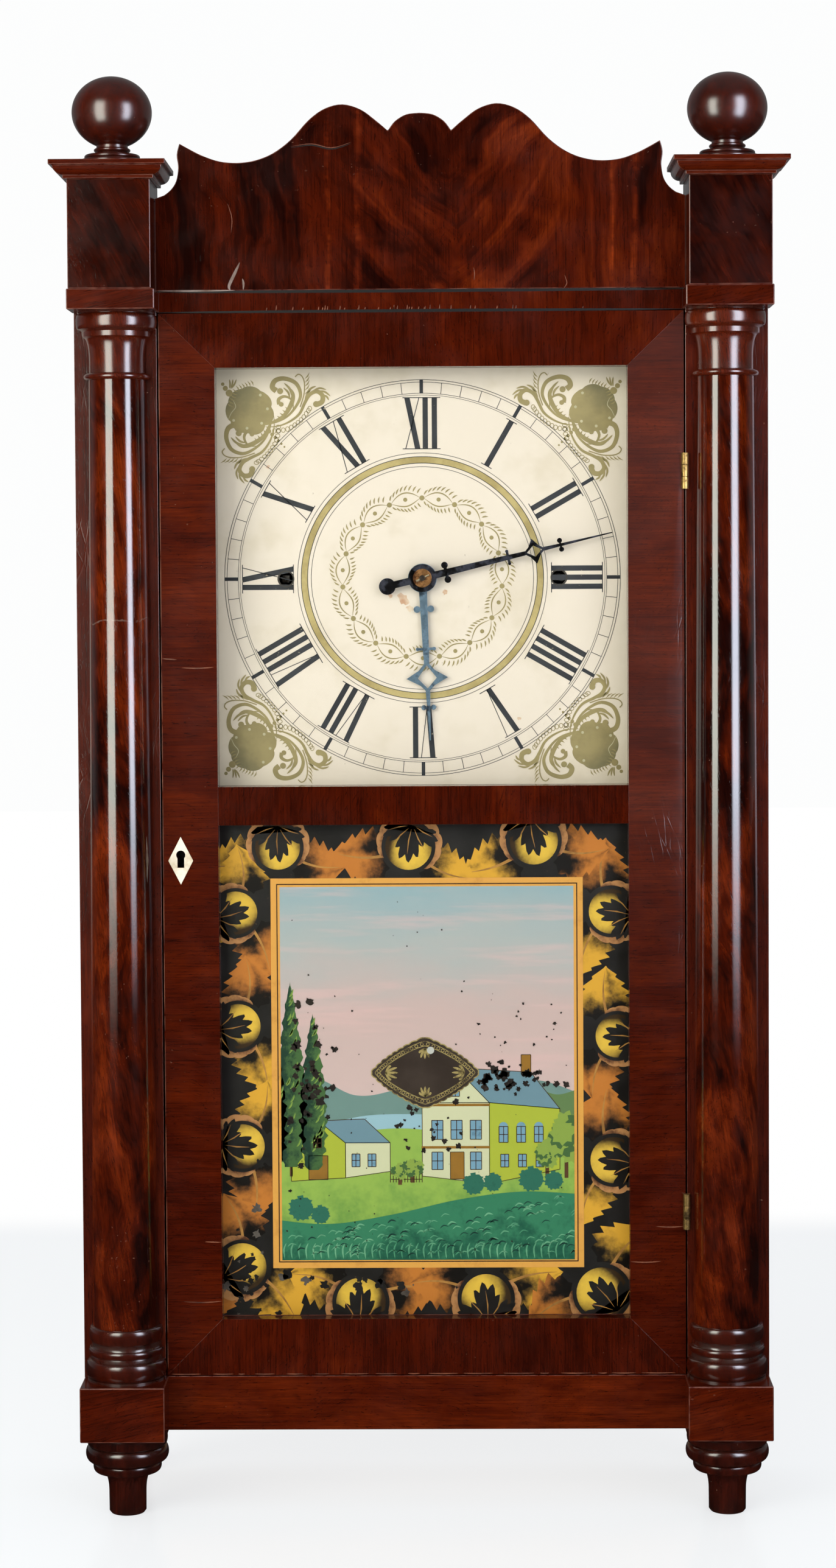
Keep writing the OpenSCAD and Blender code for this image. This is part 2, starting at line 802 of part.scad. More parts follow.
// The bracket that the pendulum hangs from
module pendulum_cock() {
    half = 5;
    z = verge_at[1] + hand_z;
    color(brass)
        difference() {
            union() {
                board([verge_at[0] - half, dial_back_y + 4, z - 3],
                    [verge_at[0] + half, dial_back_y + 11, z + 12]);
                board([verge_at[0] - half, dial_back_y + 4, z + 5],
                    [verge_at[0] + half, front_plate_y, z + 12]);
            }
            board([verge_at[0] - 0.7, dial_back_y + 3, z - 4], [verge_at[0] + 0.7, dial_back_y + 12, z + 7]);
        }
}

// The bell on its post
bell_at = [-45, -145.5];
module bell() {
    post_r = 3;
    wall = 2.2;
    deep = 26;
    mouth_y = board_y - 37;
    n = 10;
    shell = concat([for (i = [0:n]) [bell_r * cos(80 * i / n), deep * sin(80 * i / n) / sin(80)]],
        [for (i = [n:-1:0]) [(bell_r - wall) * cos(80 * i / n), (deep - wall) * sin(80 * i / n) / sin(80)]]);
    color(iron) {
        translate([bell_at[0], mouth_y, bell_at[1] + hand_z])
            rotate([-90, 0, 0])
                rotate_extrude()
                    difference() {
                        union() {
                            polygon(shell);
                            translate([0, deep - wall])
                                square([bell_r * cos(76), wall]);
                        }
                        translate([-1, -1])
                            square([1 + post_r + joint, deep + 2]);
                    }
        rod(bell_at + [0, hand_z], mouth_y + deep - 6, board_y, post_r);
        rod(bell_at + [0, hand_z], mouth_y + deep + joint, mouth_y + deep + 3, 2 * post_r);
        rod(bell_at + [0, hand_z], mouth_y + deep - wall - 3, mouth_y + deep - wall - joint, 1.6 * post_r);
    }
}

// Pulleys in the top board and the cords that run over them
module pulley_axles() {
    color(iron)
        both_sides()
            rod([pulley_x, pulley_z], cord_y - 14, cord_y + 14, pivot_r);
}
module pulley() {
    groove = 1.7;
    flange_r = pulley_r + 3.4;
    color(pale_wood)
        translate([pulley_x, cord_y, pulley_z])
            rotate([-90, 0, 0])
                rotate_extrude()
                    polygon([[pivot_r + run, -4], [flange_r, -4], [flange_r, -groove - 0.8], [pulley_r, -groove],
                        [pulley_r, groove], [flange_r, groove + 0.8], [flange_r, 4], [pivot_r + run, 4]]);
}
// A tube in an upright plane across the case, swept along a route of [x, z] points
function tube_ring(route, i, r, sides) =
    let (a = route[max(i - 1, 0)], b = route[min(i + 1, len(route) - 1)], along = toward(a, b))
    [for (k = [0:sides - 1]) [route[i][0] - r * cos(360 * k / sides) * sin(along),
        cord_y + r * sin(360 * k / sides), route[i][1] + r * cos(360 * k / sides) * cos(along)]];
module tube(route, r, sides = 10) {
    last = (len(route) - 1) * sides;
    points = [for (i = [0:len(route) - 1]) each tube_ring(route, i, r, sides)];
    walls = [for (i = [0:len(route) - 2], k = [0:sides - 1])
        let (a = i * sides + k, b = i * sides + (k + 1) % sides)
        each [[a, b, b + sides], [a, b + sides, a + sides]]];
    ends = [[for (k = [sides - 1:-1:0]) k], [for (k = [0:sides - 1]) last + k]];
    polyhedron(points, concat(walls, ends));
}
// Up from the drum on a slant, over the pulley and down to the level of its axle
cord_lean = toward([winding_x, hand_z], [pulley_x, pulley_z]);
cord_span = norm([pulley_x - winding_x, pulley_z - hand_z]);
cord_leave = cord_lean + 90 - asin((cord_reach - pulley_reach) / cord_span);
cord_route = concat([[winding_x, hand_z] + polar(cord_reach, cord_leave)],
    [for (k = [0:12]) [pulley_x, pulley_z] + polar(pulley_reach, cord_leave * (1 - k / 12))],
    [[drop_x, drop_high_z]]);
module cord_runs() {
    color(cream)
        both_sides()
            tube(cord_route, cord_r);
}
module cord_drop() {
    color(cream)
        translate([drop_x, cord_y, drop_low_z])
            cylinder(h = drop_high_z - drop_low_z, r = cord_r);
}
module weight() {
    color(iron)
        translate([drop_x, cord_y, 0]) {
            translate([0, 0, weight_top_z - weight_l])
                turned(concat([[weight_r - 2, 0], [weight_r, 2], [weight_r, weight_l - 5]],
                    [for (a = [0:15:60]) [weight_r - 5 + 5 * cos(a), weight_l - 5 + 5 * sin(a)]],
                    [[3, weight_l], [2.4, weight_l + 2.6]]));
            translate([0, 0, eye_z])
                rotate([90, 0, 0])
                    rotate_extrude()
                        translate([eye_r, 0])
                            circle(r = eye_wire);
        }
}

// Winding drum with its arbor, its square for the key and the cord wound on it
module drum() {
    at = [winding_x, hand_z];
    color(pale_wood) {
        rod(at, dial_back_y + 10, rear_plate_y + plate_t - 2, drum_arbor_r);
        rod(at, drum_layer[0], drum_layer[1], drum_r);
        rod(at, drum_layer[0], drum_layer[0] + 2, drum_flange_r);
        rod(at, drum_layer[1] - 2, drum_layer[1], drum_flange_r);
        across(at, dial_y + 1, dial_back_y + 10)
            square(4.4, center = true);
    }
    color(cream)
        difference() {
            rod(at, cord_y + cord_r + clear, drum_layer[1] - 2 - joint, drum_r + 2 * cord_r);
            rod(at, cord_y, drum_layer[1], drum_r + joint);
        }
}

// The great wheel turns on the drum's arbor
module great_wheel(at, next, n) {
    color(pale_wood)
        difference() {
            wheel_facing(at, next, n, great_m, great_layer);
            rod(at + [0, hand_z], great_layer[0] - 1, great_layer[1] + 1, drum_arbor_r + run);
        }
}
module second_arbor(at, great, third) {
    color(pale_wood) {
        arbor(at, arbor_r);
        pinion_facing(at, great, leaf_n, great_m, [great_layer[0] - 1, great_layer[1] + 1]);
        wheel_facing(at, third, second_n, train_m, disc_layer);
    }
}
module third_arbor(at, second, last) {
    color(pale_wood) {
        rod(at + [0, hand_z], disc_layer[1] + 0.5, rear_plate_y - clear, arbor_r);
        rod(at + [0, hand_z], front_plate_y + 2, rear_plate_y + plate_t - 2, pivot_r);
        pinion_facing(at, second, small_n, train_m, [disc_layer[0] - 0.5, disc_layer[1] + 0.5]);
        wheel_facing(at, last, third_n, train_m, third_layer);
    }
}
module last_arbor(at, third) {
    rod(at + [0, hand_z], wheels_y + clear, third_layer[0] - 1, slim_arbor_r);
    rod(at + [0, hand_z], front_plate_y + 2, rear_plate_y + plate_t - 2, pivot_r);
    rod(at + [0, hand_z], third_layer[1] + 1, rear_plate_y - clear, slim_arbor_r);
    pinion_facing(at, third, small_n, train_m, [third_layer[0] - 1, third_layer[1] + 1]);
}
module time_great_wheel() {
    great_wheel(great_at, second_at, great_n);
}
module time_drum() {
    drum();
}
module time_second_arbor() {
    second_arbor(second_at, great_at, third_at);
    color(pale_wood)
        pinion_facing(second_at, [0, 0], drive_n, drive_m, drive_layer);
}
module time_third_arbor() {
    third_arbor(third_at, second_at, escape_at);
}
module escape_wheel() {
    color(brass) {
        last_arbor(escape_at, third_at);
        across(escape_at + [0, hand_z], disc_layer[0], disc_layer[0] + 2.5)
            polygon([for (k = [0:escape_n - 1], s = [[-3, 0], [0, 0.5], [-3, 0.62]])
                polar(escape_r + s[0], 360 / escape_n * (k + s[1]))]);
    }
}

// The verge: its anchor over the escape wheel and its crutch in front of the plate
module verge() {
    span = norm(escape_at - verge_at);
    tilt = toward(verge_at, escape_at) + 90;
    reach = escape_r + 1.9;
    at = verge_at + [0, hand_z];
    pallet = 42;
    tip = [reach * sin(pallet), reach * cos(pallet) - span];
    color(iron) {
        rod(at, front_plate_y - 5, rear_plate_y + plate_t - 2, 2);
        across(at, disc_layer[0], disc_layer[0] + 2.5)
            rotate(tilt) {
                circle(r = 4);
                for (s = [-1, 1])
                    scale([s, 1])
                        polygon([[0, 3.4], [tip[0] + 2.4, tip[1] + 5], [tip[0] + 1.2, tip[1]], [tip[0], tip[1]],
                            [tip[0] - 0.6, tip[1] + 3.8], [0, -1]]);
            }
        across(at, front_plate_y - 4.5, front_plate_y - 2.5) {
            circle(r = 3.4);
            translate([-1, -49])
                square([2, 49]);
            translate([-3.6, -51])
                square([7.2, 4]);
        }
        for (s = [-1, 1])
            rod(at + [s * 2.6, -49], dial_back_y + 4, front_plate_y - 2.5, 0.9);
    }
}

// The pendulum hangs by a thin spring in the slit of its cock
module pendulum() {
    pendulum_rod();
    pendulum_bob();
}
module pendulum_rod() {
    x = verge_at[0];
    z = verge_at[1] + hand_z;
    y = dial_back_y + 7;
    color(brass) {
        board([x - 0.2, y - 1.8, z - 12], [x + 0.2, y + 1.8, z + 5.4]);
        difference() {
            translate([x, y, z - pendulum_l - bob_r - 6])
                cylinder(h = pendulum_l + bob_r - 4, r = rod_r);
            board([x - 0.2, y - 1.8, z - 12], [x + 0.2, y + 1.8, z]);
        }
        translate([x, y, z - pendulum_l - bob_r - 4])
            difference() {
                cylinder(h = 3, r = 3);
                translate([0, 0, -1])
                    cylinder(h = 5, r = rod_r + joint);
            }
    }
}
module pendulum_bob() {
    thick = 9;
    cap_r = (bob_r * bob_r + thick * thick / 4) / thick;
    at = [verge_at[0], verge_at[1] + hand_z - pendulum_l];
    y = dial_back_y + 7;
    n = 8;
    edge = asin(bob_r / cap_r);
    side = [for (i = [0:n]) [cap_r * sin(edge * i / n), cap_r * cos(edge * i / n) - cap_r + thick / 2]];
    color(brass)
        difference() {
            translate([at[0], y, at[1]])
                rotate([90, 0, 0])
                    rotate_extrude()
                        polygon(concat(side, [for (i = [n:-1:0]) [side[i][0], -side[i][1]]]));
            translate([at[0], y, at[1] - bob_r - 1])
                cylinder(h = 2 * bob_r + 2, r = rod_r + joint);
        }
}

// The centre arbor with its driven wheel, cannon pinion and the pipe's end for the hand
module minute_arbor() {
    at = [0, hand_z];
    color(pale_wood) {
        rod(at, front_plate_y - 1, rear_plate_y + plate_t - 2, arbor_r);
        wheel_facing([0, 0], second_at, centre_n, drive_m, drive_layer);
        pinion_facing([0, 0], motion_at, cannon_n, cannon_m, [front_plate_y - 5, front_plate_y - 1]);
    }
    color(brass) {
        rod(at, dial_y - 5.5, front_plate_y - 5, arbor_r);
        rod(at, dial_y - 10, dial_y - 5.5, 1.8);
    }
}
module minute_wheel() {
    color(pale_wood)
        difference() {
            union() {
                wheel_facing(motion_at, [0, 0], minute_n, cannon_m, [front_plate_y - 5, front_plate_y - 1]);
                rod(motion_at + [0, hand_z], dial_back_y + 6, front_plate_y - 5, 3.9);
                pinion_facing(motion_at, [0, 0], hour_leaf_n, hour_m, [dial_back_y + 1.5, dial_back_y + 7]);
            }
            rod(motion_at + [0, hand_z], dial_back_y, front_plate_y, 2.5 + run);
        }
}
module hour_wheel() {
    at = [0, hand_z];
    color(pale_wood)
        difference() {
            union() {
                wheel_facing([0, 0], motion_at, hour_n, hour_m, [dial_back_y + 2, dial_back_y + 6]);
                rod(at, dial_y - 3, dial_back_y + 2, 4.6);
            }
            rod(at, dial_y - 4, dial_back_y + 7, arbor_r + run);
        }
}

// Hands, drawn pointing up from the arbor
module crossbar(r, half, thick, ball) {
    translate([-half, r - thick / 2])
        square([2 * half, thick]);
    for (s = [-1, 1])
        translate([s * half, r])
            circle(r = ball);
}
module pierced_diamond(low, wide, high, half, rim) {
    waist = [half * 0.38, low + (wide - low) * 0.55];
    shoulder = [half * 0.34, wide + (high - wide) * 0.5];
    eye = half * 0.5 - rim * 0.4;
    difference() {
        polygon([[0, low], waist, [half, wide], shoulder, [0, high], [-shoulder[0], shoulder[1]],
            [-half, wide], [-waist[0], waist[1]]]);
        polygon([[0, low + rim * 2], [eye, wide], [0, high - rim * 2], [-eye, wide]]);
    }
}
module minute_hand() {
    hub_r = 8.7;
    color(iron)
        difference() {
            across([0, hand_z], dial_y - 6.5, dial_y - 5.5)
                rotate(-minute_angle) {
                    circle(r = hub_r);
                    translate([0, -22.4])
                        circle(r = 5.2);
                    translate([-2.2, -22.4])
                        square([4.4, 22.4]);
                    polygon([[-2.4, 0], [2.4, 0], [1.5, 55], [1.3, 66], [-1.3, 66], [-1.5, 55]]);
                    crossbar(15.3, 4.6, 2, 2.1);
                    crossbar(55, 3.9, 1.6, 1);
                    pierced_diamond(64.6, 71.7, 79, 8, 1.2);
                    polygon([[-1.2, 78], [1.2, 78], [0.9, 88], [0.35, minute_l], [-0.35, minute_l], [-0.9, 88]]);
                    crossbar(88.5, 2.8, 1.2, 1.55);
                }
            rod([0, hand_z], dial_y - 7, dial_y - 5, 1.8);
        }
    color(brass)
        difference() {
            rod([0, hand_z], dial_y - 8.6, dial_y - 6.5 - joint, 5.8);
            rod([0, hand_z], dial_y - 9, dial_y - 6, 1.8);
        }
}
module hour_hand() {
    hub_r = 9;
    color(iron)
        difference() {
            across([0, hand_z], dial_y - 3, dial_y - 2)
                rotate(-hour_angle) {
                    circle(r = hub_r);
                    polygon([[-2.6, 0], [2.6, 0], [1.9, 44], [1.6, 54], [-1.6, 54], [-1.9, 44]]);
                    crossbar(19.4, 4.3, 2, 2.1);
                    crossbar(44.3, 5.2, 1.6, 1.1);
                    pierced_diamond(51.7, 62.5, 71.8, 13, 1.4);
                    polygon([[-1.4, 70.5], [1.4, 70.5], [1, 81], [0.4, hour_l], [-0.4, hour_l], [-1, 81]]);
                    crossbar(80.9, 3, 1.3, 1.6);
                }
            rod([0, hand_z], dial_y - 4, dial_y, 4.6);
        }
}

// The strike train
module strike_great_wheel() {
    great_wheel(strike_great_at, pin_at, strike_great_n);
}
module strike_drum() {
    mirror([1, 0, 0])
        drum();
}
module pin_wheel() {
    second_arbor(pin_at, strike_great_at, strike_third_at);
    color(pale_wood) {
        rod(pin_at + [0, hand_z], front_plate_y - 1, wheels_y + clear + eps, 2.5);
        pinion_facing(pin_at, count_at, count_leaf_n, count_m, [front_plate_y - 7, front_plate_y - 1]);
    }
    color(iron)
        for (k = [0:pin_count - 1])
            rod(pin_at + polar(pin_circle_r, 360 / pin_count * k + 20) + [0, hand_z],
                disc_layer[1], disc_layer[1] + 6, pin_r);
}
module strike_third_arbor() {
    third_arbor(strike_third_at, pin_at, fly_at);
}
module fly() {
    blade = 18;
    color(brass) {
        last_arbor(fly_at, strike_third_at);
        translate([fly_at[0] - blade, wheels_y + 3, fly_at[1] + hand_z - 0.8])
            cube([2 * blade, 12, 1.6]);
    }
}
module count_wheel() {
    slots = [1, 3, 6, 10, 15, 21, 28, 36, 45, 55, 66];
    layer = [front_plate_y - 6, front_plate_y - 2];
    plate_r = count_n * count_m / 2 - 3;
    color(pale_wood)
        difference() {
            union() {
                wheel_facing(count_at, pin_at, count_n, count_m, [layer[0] + 2, layer[1]]);
                rod(count_at + [0, hand_z], layer[0], layer[0] + 2, plate_r);
            }
            rod(count_at + [0, hand_z], layer[0] - 1, layer[1] + 1, 2.5 + run);
            for (k = slots)
                across(count_at + [0, hand_z], layer[0] - 1, layer[0] + 2)
                    rotate(360 / 78 * k)
                        translate([plate_r - 4, -0.9])
                            square([6, 1.8]);
        }
}
module hammer() {
    at = hammer_at + [0, hand_z];
    head = [-6, -49.5];
    tail = norm(pin_at - hammer_at) - pin_circle_r - tail_gap;
    color(iron) {
        arbor(hammer_at, 2.4);
        across(at, disc_layer[1] + 0.6, disc_layer[1] + 3.6)
            rotate(toward(hammer_at, pin_at)) {
                circle(r = 4);
                translate([0, -1.4])
                    square([tail, 2.8]);
            }
        across(at, wheels_y + 12, wheels_y + 15) {
            circle(r = 4);
            rotate(toward([0, 0], head))
                translate([0, -1.2])
                    square([norm(head), 2.4]);
        }
        rod(at + head, wheels_y + 5, wheels_y + 22, 7.5);
    }
}
module strike_lever() {
    at = lever_at + [0, hand_z];
    color(iron) {
        rod(at, wheels_y + clear, rear_plate_y - clear, 2.4);
        rod(at, wheels_y, rear_plate_y + plate_t - 2, pivot_r);
        rod(at, front_plate_y - 5, wheels_y + clear, 2.4);
        across(at, front_plate_y - 5, front_plate_y - 3) {
            circle(r = 4);
            rotate(173.4)
                translate([0, -1.3])
                    square([43, 2.6]);
            rotate(-10)
                translate([0, -1.3])
                    square([22, 2.6]);
        }
    }
}
// What hangs from the cords; the time side is on the viewer's right
module time_pulley() {
    pulley();
}
module strike_pulley() {
    mirror([1, 0, 0])
        pulley();
}
module time_weight() {
    weight();
}
module strike_weight() {
    mirror([1, 0, 0])
        weight();
}
module time_cord_drop() {
    cord_drop();
}
module strike_cord_drop() {
    mirror([1, 0, 0])
        cord_drop();
}

side_boards();
top_board();
bottom_board();
back_board();
front_stiles();
apron_rail();
column_blocks();
die_blocks();
cap_mouldings();
crest_board();
finials();
column_bases();
column_shafts();
column_capitals();
feet();
hinge_case_leaves();
dial_board();
dial_screws();
movement_rails();
movement_plates();
pendulum_cock();
bell();
pulley_axles();
cord_runs();
door_hinge_stile();
door_lock_stile();
door_rails();
dial_glass();
tablet_glass();
glass_strips();
keyhole_escutcheon();
lock_case();
hinge_door_leaves();
lock_bolt();
minute_hand();
minute_arbor();
hour_hand();
hour_wheel();
minute_wheel();
time_great_wheel();
time_drum();
time_second_arbor();
time_third_arbor();
escape_wheel();
verge();
pendulum();
strike_great_wheel();
strike_drum();
pin_wheel();
strike_third_arbor();
fly();
count_wheel();
hammer();
strike_lever();
time_pulley();
strike_pulley();
time_weight();
strike_weight();
time_cord_drop();
strike_cord_drop();
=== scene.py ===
"""Looks of a shelf clock with half columns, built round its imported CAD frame."""

import math
import random

import bmesh
import bpy
from mathutils import Matrix, Vector
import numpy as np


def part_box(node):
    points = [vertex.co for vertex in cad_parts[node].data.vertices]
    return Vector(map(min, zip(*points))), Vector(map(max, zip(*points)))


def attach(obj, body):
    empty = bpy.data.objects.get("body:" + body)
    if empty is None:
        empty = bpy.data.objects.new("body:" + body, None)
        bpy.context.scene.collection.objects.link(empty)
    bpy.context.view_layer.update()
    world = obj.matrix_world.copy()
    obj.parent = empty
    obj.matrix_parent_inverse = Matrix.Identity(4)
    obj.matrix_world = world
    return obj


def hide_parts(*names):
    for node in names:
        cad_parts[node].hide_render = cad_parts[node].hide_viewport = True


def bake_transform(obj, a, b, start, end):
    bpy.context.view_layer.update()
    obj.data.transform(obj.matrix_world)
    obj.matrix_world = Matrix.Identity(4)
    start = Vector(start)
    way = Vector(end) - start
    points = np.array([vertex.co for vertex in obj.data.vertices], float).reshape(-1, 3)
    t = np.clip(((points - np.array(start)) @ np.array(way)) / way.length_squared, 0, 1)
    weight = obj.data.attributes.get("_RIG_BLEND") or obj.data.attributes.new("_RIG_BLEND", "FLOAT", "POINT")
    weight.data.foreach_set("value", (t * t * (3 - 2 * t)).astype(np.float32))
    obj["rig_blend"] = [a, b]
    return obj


bl_info = {
    "name": "Shelf clock with half columns",
    "version": (1, 0, 0),
    "blender": (4, 5, 0),
    "location": "View3D > Sidebar > Clock",
    "description": "Wood, dial, painted glass and movement of a shelf clock",
    "category": "Object",
}

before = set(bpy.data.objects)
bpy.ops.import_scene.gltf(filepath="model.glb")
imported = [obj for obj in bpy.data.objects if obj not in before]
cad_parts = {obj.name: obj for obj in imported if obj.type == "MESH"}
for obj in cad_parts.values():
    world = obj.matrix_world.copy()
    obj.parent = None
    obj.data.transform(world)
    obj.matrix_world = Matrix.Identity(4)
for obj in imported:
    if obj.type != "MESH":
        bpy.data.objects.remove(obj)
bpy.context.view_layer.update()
MM = 0.001
# The right column's axis in mm, the bend from which an edge is rubbed, and how close points merge
COLUMN_X, COLUMN_Y = 187, -36
SHARP = math.radians(28)
WELD = 2e-6
SHELLAC_IOR = 1.62


# Sizes and colours that a user would change

def number(name, about, default, **kind):
    return bpy.props.FloatProperty(name=name, description=about, default=default, min=0, **kind)


def linear(red, green, blue):
    """A display colour, 0 to 255 a channel, as the linear colour that nodes take"""
    return tuple((c / 255 / 12.92) if c <= 10.3 else ((c / 255 + 0.055) / 1.055) ** 2.4
                 for c in (red, green, blue))


def colour(name, about, *display):
    return bpy.props.FloatVectorProperty(name=name, description=about, default=linear(*display), size=3,
                                         subtype="COLOR", min=0, max=1)


class ClockWood(bpy.types.PropertyGroup):
    """Tones and wear of the mahogany"""
    dark: colour("Dark wood", "Dark stretches of the figure", 24, 4, 2)
    middle: colour("Red wood", "Main tone of the mahogany", 62, 14, 2)
    bright: colour("Bright wood", "Bright stretches of the flame figure", 116, 41, 9)
    worn: colour("Worn edge", "Rubbed edges and arrises", 104, 51, 33)
    gloss: number("Roughness", "Roughness of the shellac", 0.12, max=1, subtype="FACTOR")


class ClockDial(bpy.types.PropertyGroup):
    """Paint of the dial"""
    ground: colour("Ground", "Cream ground of the dial", 240, 226, 208)
    ink: colour("Ink", "Numerals and fine lines", 40, 41, 44)
    gilt: colour("Gilt", "Ring, wreath and corner ornaments", 166, 150, 100)


class ClockTablet(bpy.types.PropertyGroup):
    """Paint of the glass tablet"""
    sky: colour("Sky", "Top of the sky", 145, 171, 176)
    dusk: colour("Dusk", "Bottom of the sky", 208, 181, 174)
    lawn: colour("Lawn", "Lawn", 146, 178, 75)
    water: colour("Foreground", "Brushed foreground", 48, 122, 87)
    band: colour("Band", "Line round the picture", 222, 160, 70)


class ClockStage(bpy.types.PropertyGroup):
    """Floor, lamps and camera"""
    floor: colour("Floor", "Colour of the floor", 236, 239, 241)
    distance: number("Camera distance", "From the camera to the front of the blocks", 1.918, unit="LENGTH")
    height: number("Camera height", "Height of the camera above the floor", 0.58, unit="LENGTH")
    left_lamp: number("Left lamp", "Radiance of the left lamp", 5.0, subtype="UNSIGNED")
    right_lamp: number("Right lamp", "Radiance of the right lamp", 3.1, subtype="UNSIGNED")
    fill_lamp: number("Fill lamp", "Radiance of the lamp behind the camera", 2.75, subtype="UNSIGNED")
    left_shine: number("Left shine", "Radiance of the left lamp in the polish", 8.6, subtype="UNSIGNED")
    right_shine: number("Right shine", "Radiance of the right lamp in the polish", 13.0, subtype="UNSIGNED")


GROUPS = {"clock_wood": ClockWood, "clock_dial": ClockDial, "clock_tablet": ClockTablet,
          "clock_stage": ClockStage}


def settings(group):
    return getattr(bpy.context.scene, group)


# Finishes

class Nodes:
    """A node tree while it is being put together"""

    def __init__(self, tree):
        self.tree = tree

    def put(self, socket, value):
        if isinstance(value, bpy.types.NodeSocket):
            self.tree.links.new(value, socket)
        elif socket.type == "RGBA":
            socket.default_value = (*value, 1)
        else:
            socket.default_value = value

    def node(self, kind, inputs=(), **options):
        node = self.tree.nodes.new("ShaderNode" + kind)
        for key, value in options.items():
            setattr(node, key, value)
        for key, value in dict(inputs).items():
            self.put(node.inputs[key], value)
        return node

    def place(self, stretch=(1, 1, 1), shift=(0, 0, 0), turn=(0, 0, 0), source=None):
        """Object coordinates turned by degrees, then stretched and shifted"""
        vector = source or self.node("TexCoord").outputs["Object"]
        if any(turn):
            vector = self.node("Mapping", {"Vector": vector, "Rotation": [math.radians(a) for a in turn]}
                               ).outputs[0]
        return self.node("Mapping", {"Vector": vector, "Scale": stretch, "Location": shift}).outputs[0]

    def noise(self, vector, scale=1.0, detail=2.0, rough=0.5, warp=0.0, out="Fac"):
        return self.node("TexNoise", {"Vector": vector, "Scale": scale, "Detail": detail, "Roughness": rough,
                                      "Distortion": warp}).outputs[out]

    def cells(self, vector):
        """Distance to the edge of a net of cells"""
        return self.node("TexVoronoi", {"Vector": vector, "Scale": 1}, feature="DISTANCE_TO_EDGE"
                         ).outputs["Distance"]

    def ramp(self, factor, *stops):
        node = self.node("ValToRGB", {"Fac": factor})
        while len(node.color_ramp.elements) < len(stops):
            node.color_ramp.elements.new(0.5)
        for element, (at, tone) in zip(node.color_ramp.elements, stops):
            element.position = at
            element.color = (*tone, 1)
        return node.outputs["Color"]

    def span(self, value, low, high, first=0.0, last=1.0, smooth=True):
        """Maps low to high onto first to last, held at the ends"""
        return self.node("MapRange", {"Value": value, "From Min": low, "From Max": high, "To Min": first,
                                      "To Max": last},
                         interpolation_type="SMOOTHSTEP" if smooth else "LINEAR").outputs["Result"]

    def sum(self, a, b, kind="ADD", clamp=False):
        return self.node("Math", {0: a, 1: b}, operation=kind, use_clamp=clamp).outputs[0]

    def minus(self, a, b):
        return self.sum(a, b, "SUBTRACT")

    def times(self, a, b):
        return self.sum(a, b, "MULTIPLY")

    def size(self, a):
        return self.sum(a, 0, "ABSOLUTE")

    def move(self, a, b):
        return self.node("VectorMath", {0: a, 1: b}, operation="ADD").outputs[0]

    def scale(self, a, factor):
        return self.node("VectorMath", {0: a, "Scale": factor}, operation="SCALE").outputs[0]

    def mix(self, factor, a, b, blend="MIX"):
        node = self.node("Mix", data_type="RGBA", blend_type=blend)
        for index, value in ((0, factor), (6, a), (7, b)):
            self.put(node.inputs[index], value)
        return node.outputs[2]

    def part(self, vector=None, axis="X"):
        vector = vector or self.node("TexCoord").outputs["Object"]
        return self.node("SeparateXYZ", {"Vector": vector}).outputs[axis]

    def bump(self, height, depth, strength=1.0, before=None):
        """Relief of the given depth in metres"""
        inputs = {"Height": height, "Distance": depth, "Strength": strength}
        if before:
            inputs["Normal"] = before
        return self.node("Bump", inputs).outputs["Normal"]

    def attribute(self, name):
        return self.node("Attribute", attribute_name=name).outputs["Fac"]


class Finish(Nodes):
    """A material while it is being put together"""

    def __init__(self, name, **sockets):
        self.material = bpy.data.materials.new(name)
        self.material.use_nodes = True
        super().__init__(self.material.node_tree)
        self.shader = self.tree.nodes["Principled BSDF"]
        self.out = self.tree.nodes["Material Output"]
        self.set(**sockets)

    def set(self, **sockets):
        for key, value in sockets.items():
            self.put(self.shader.inputs[key.replace("_", " ")], value)
        return self


made = {}


def once(builder):
    """Makes a finish only the first time that its name is asked for"""
    def get(name, *options, **named):
        if name not in made:
            made[name] = builder(name, *options, **named)
        return made[name]
    return get


def along(axis, cross, length_scale):
    """Noise scales for a grain that runs along an axis"""
    return tuple(length_scale if name == axis else cross for name in "XYZ")


@once
def mahogany(name, grain="Z", figure=0.5, lift=0.0, turn=0, craze=0.0, seed=0, polish=0.04, veil=0.0,
             crack=0.0, coat=0.5):
    """French-polished mahogany: figure is how strong the flame is, lift makes it lighter, craze cracks the
    shellac, polish is how rough its shine is, the sheen amount paints a grey sheen on the upper part and
    darkens the rest as painted shade, crack is the height of a break"""
    f = Finish(name, Coat_Weight=coat, Coat_Roughness=polish, Coat_IOR=SHELLAC_IOR)
    base = f.place(turn=(0, turn, 0), shift=(seed * 1.7, seed * 0.9, seed * 2.3))
    flow = bent(f, base, 4.5, 0.1)
    streak = f.noise(f.place(along(grain, 90, 10), source=flow), 1, 6, 0.66, 0.2)
    broad = f.noise(f.place(along(grain, 18, 7), source=flow), 1, 4, 0.55, 0.6)
    mottle = f.noise(f.place(along(grain, 70, 34), source=base), 1, 5, 0.62, 0.6)
    tone = f.sum(f.times(streak, 0.34), f.sum(f.times(broad, 0.4), f.times(mottle, 0.26)))
    tone = f.sum(f.times(f.minus(tone, 0.5), 3 * figure), 0.42 + lift)
    return polished(f, tone, base, flow, grain, craze, veil, crack)


def bent(f, base, scale, depth):
    """Coordinates that wander, so that the grain isn't straight"""
    warp = f.noise(base, scale, 3, 0.55, out="Color")
    return f.move(base, f.scale(f.move(warp, (-0.5, -0.5, -0.5)), depth))


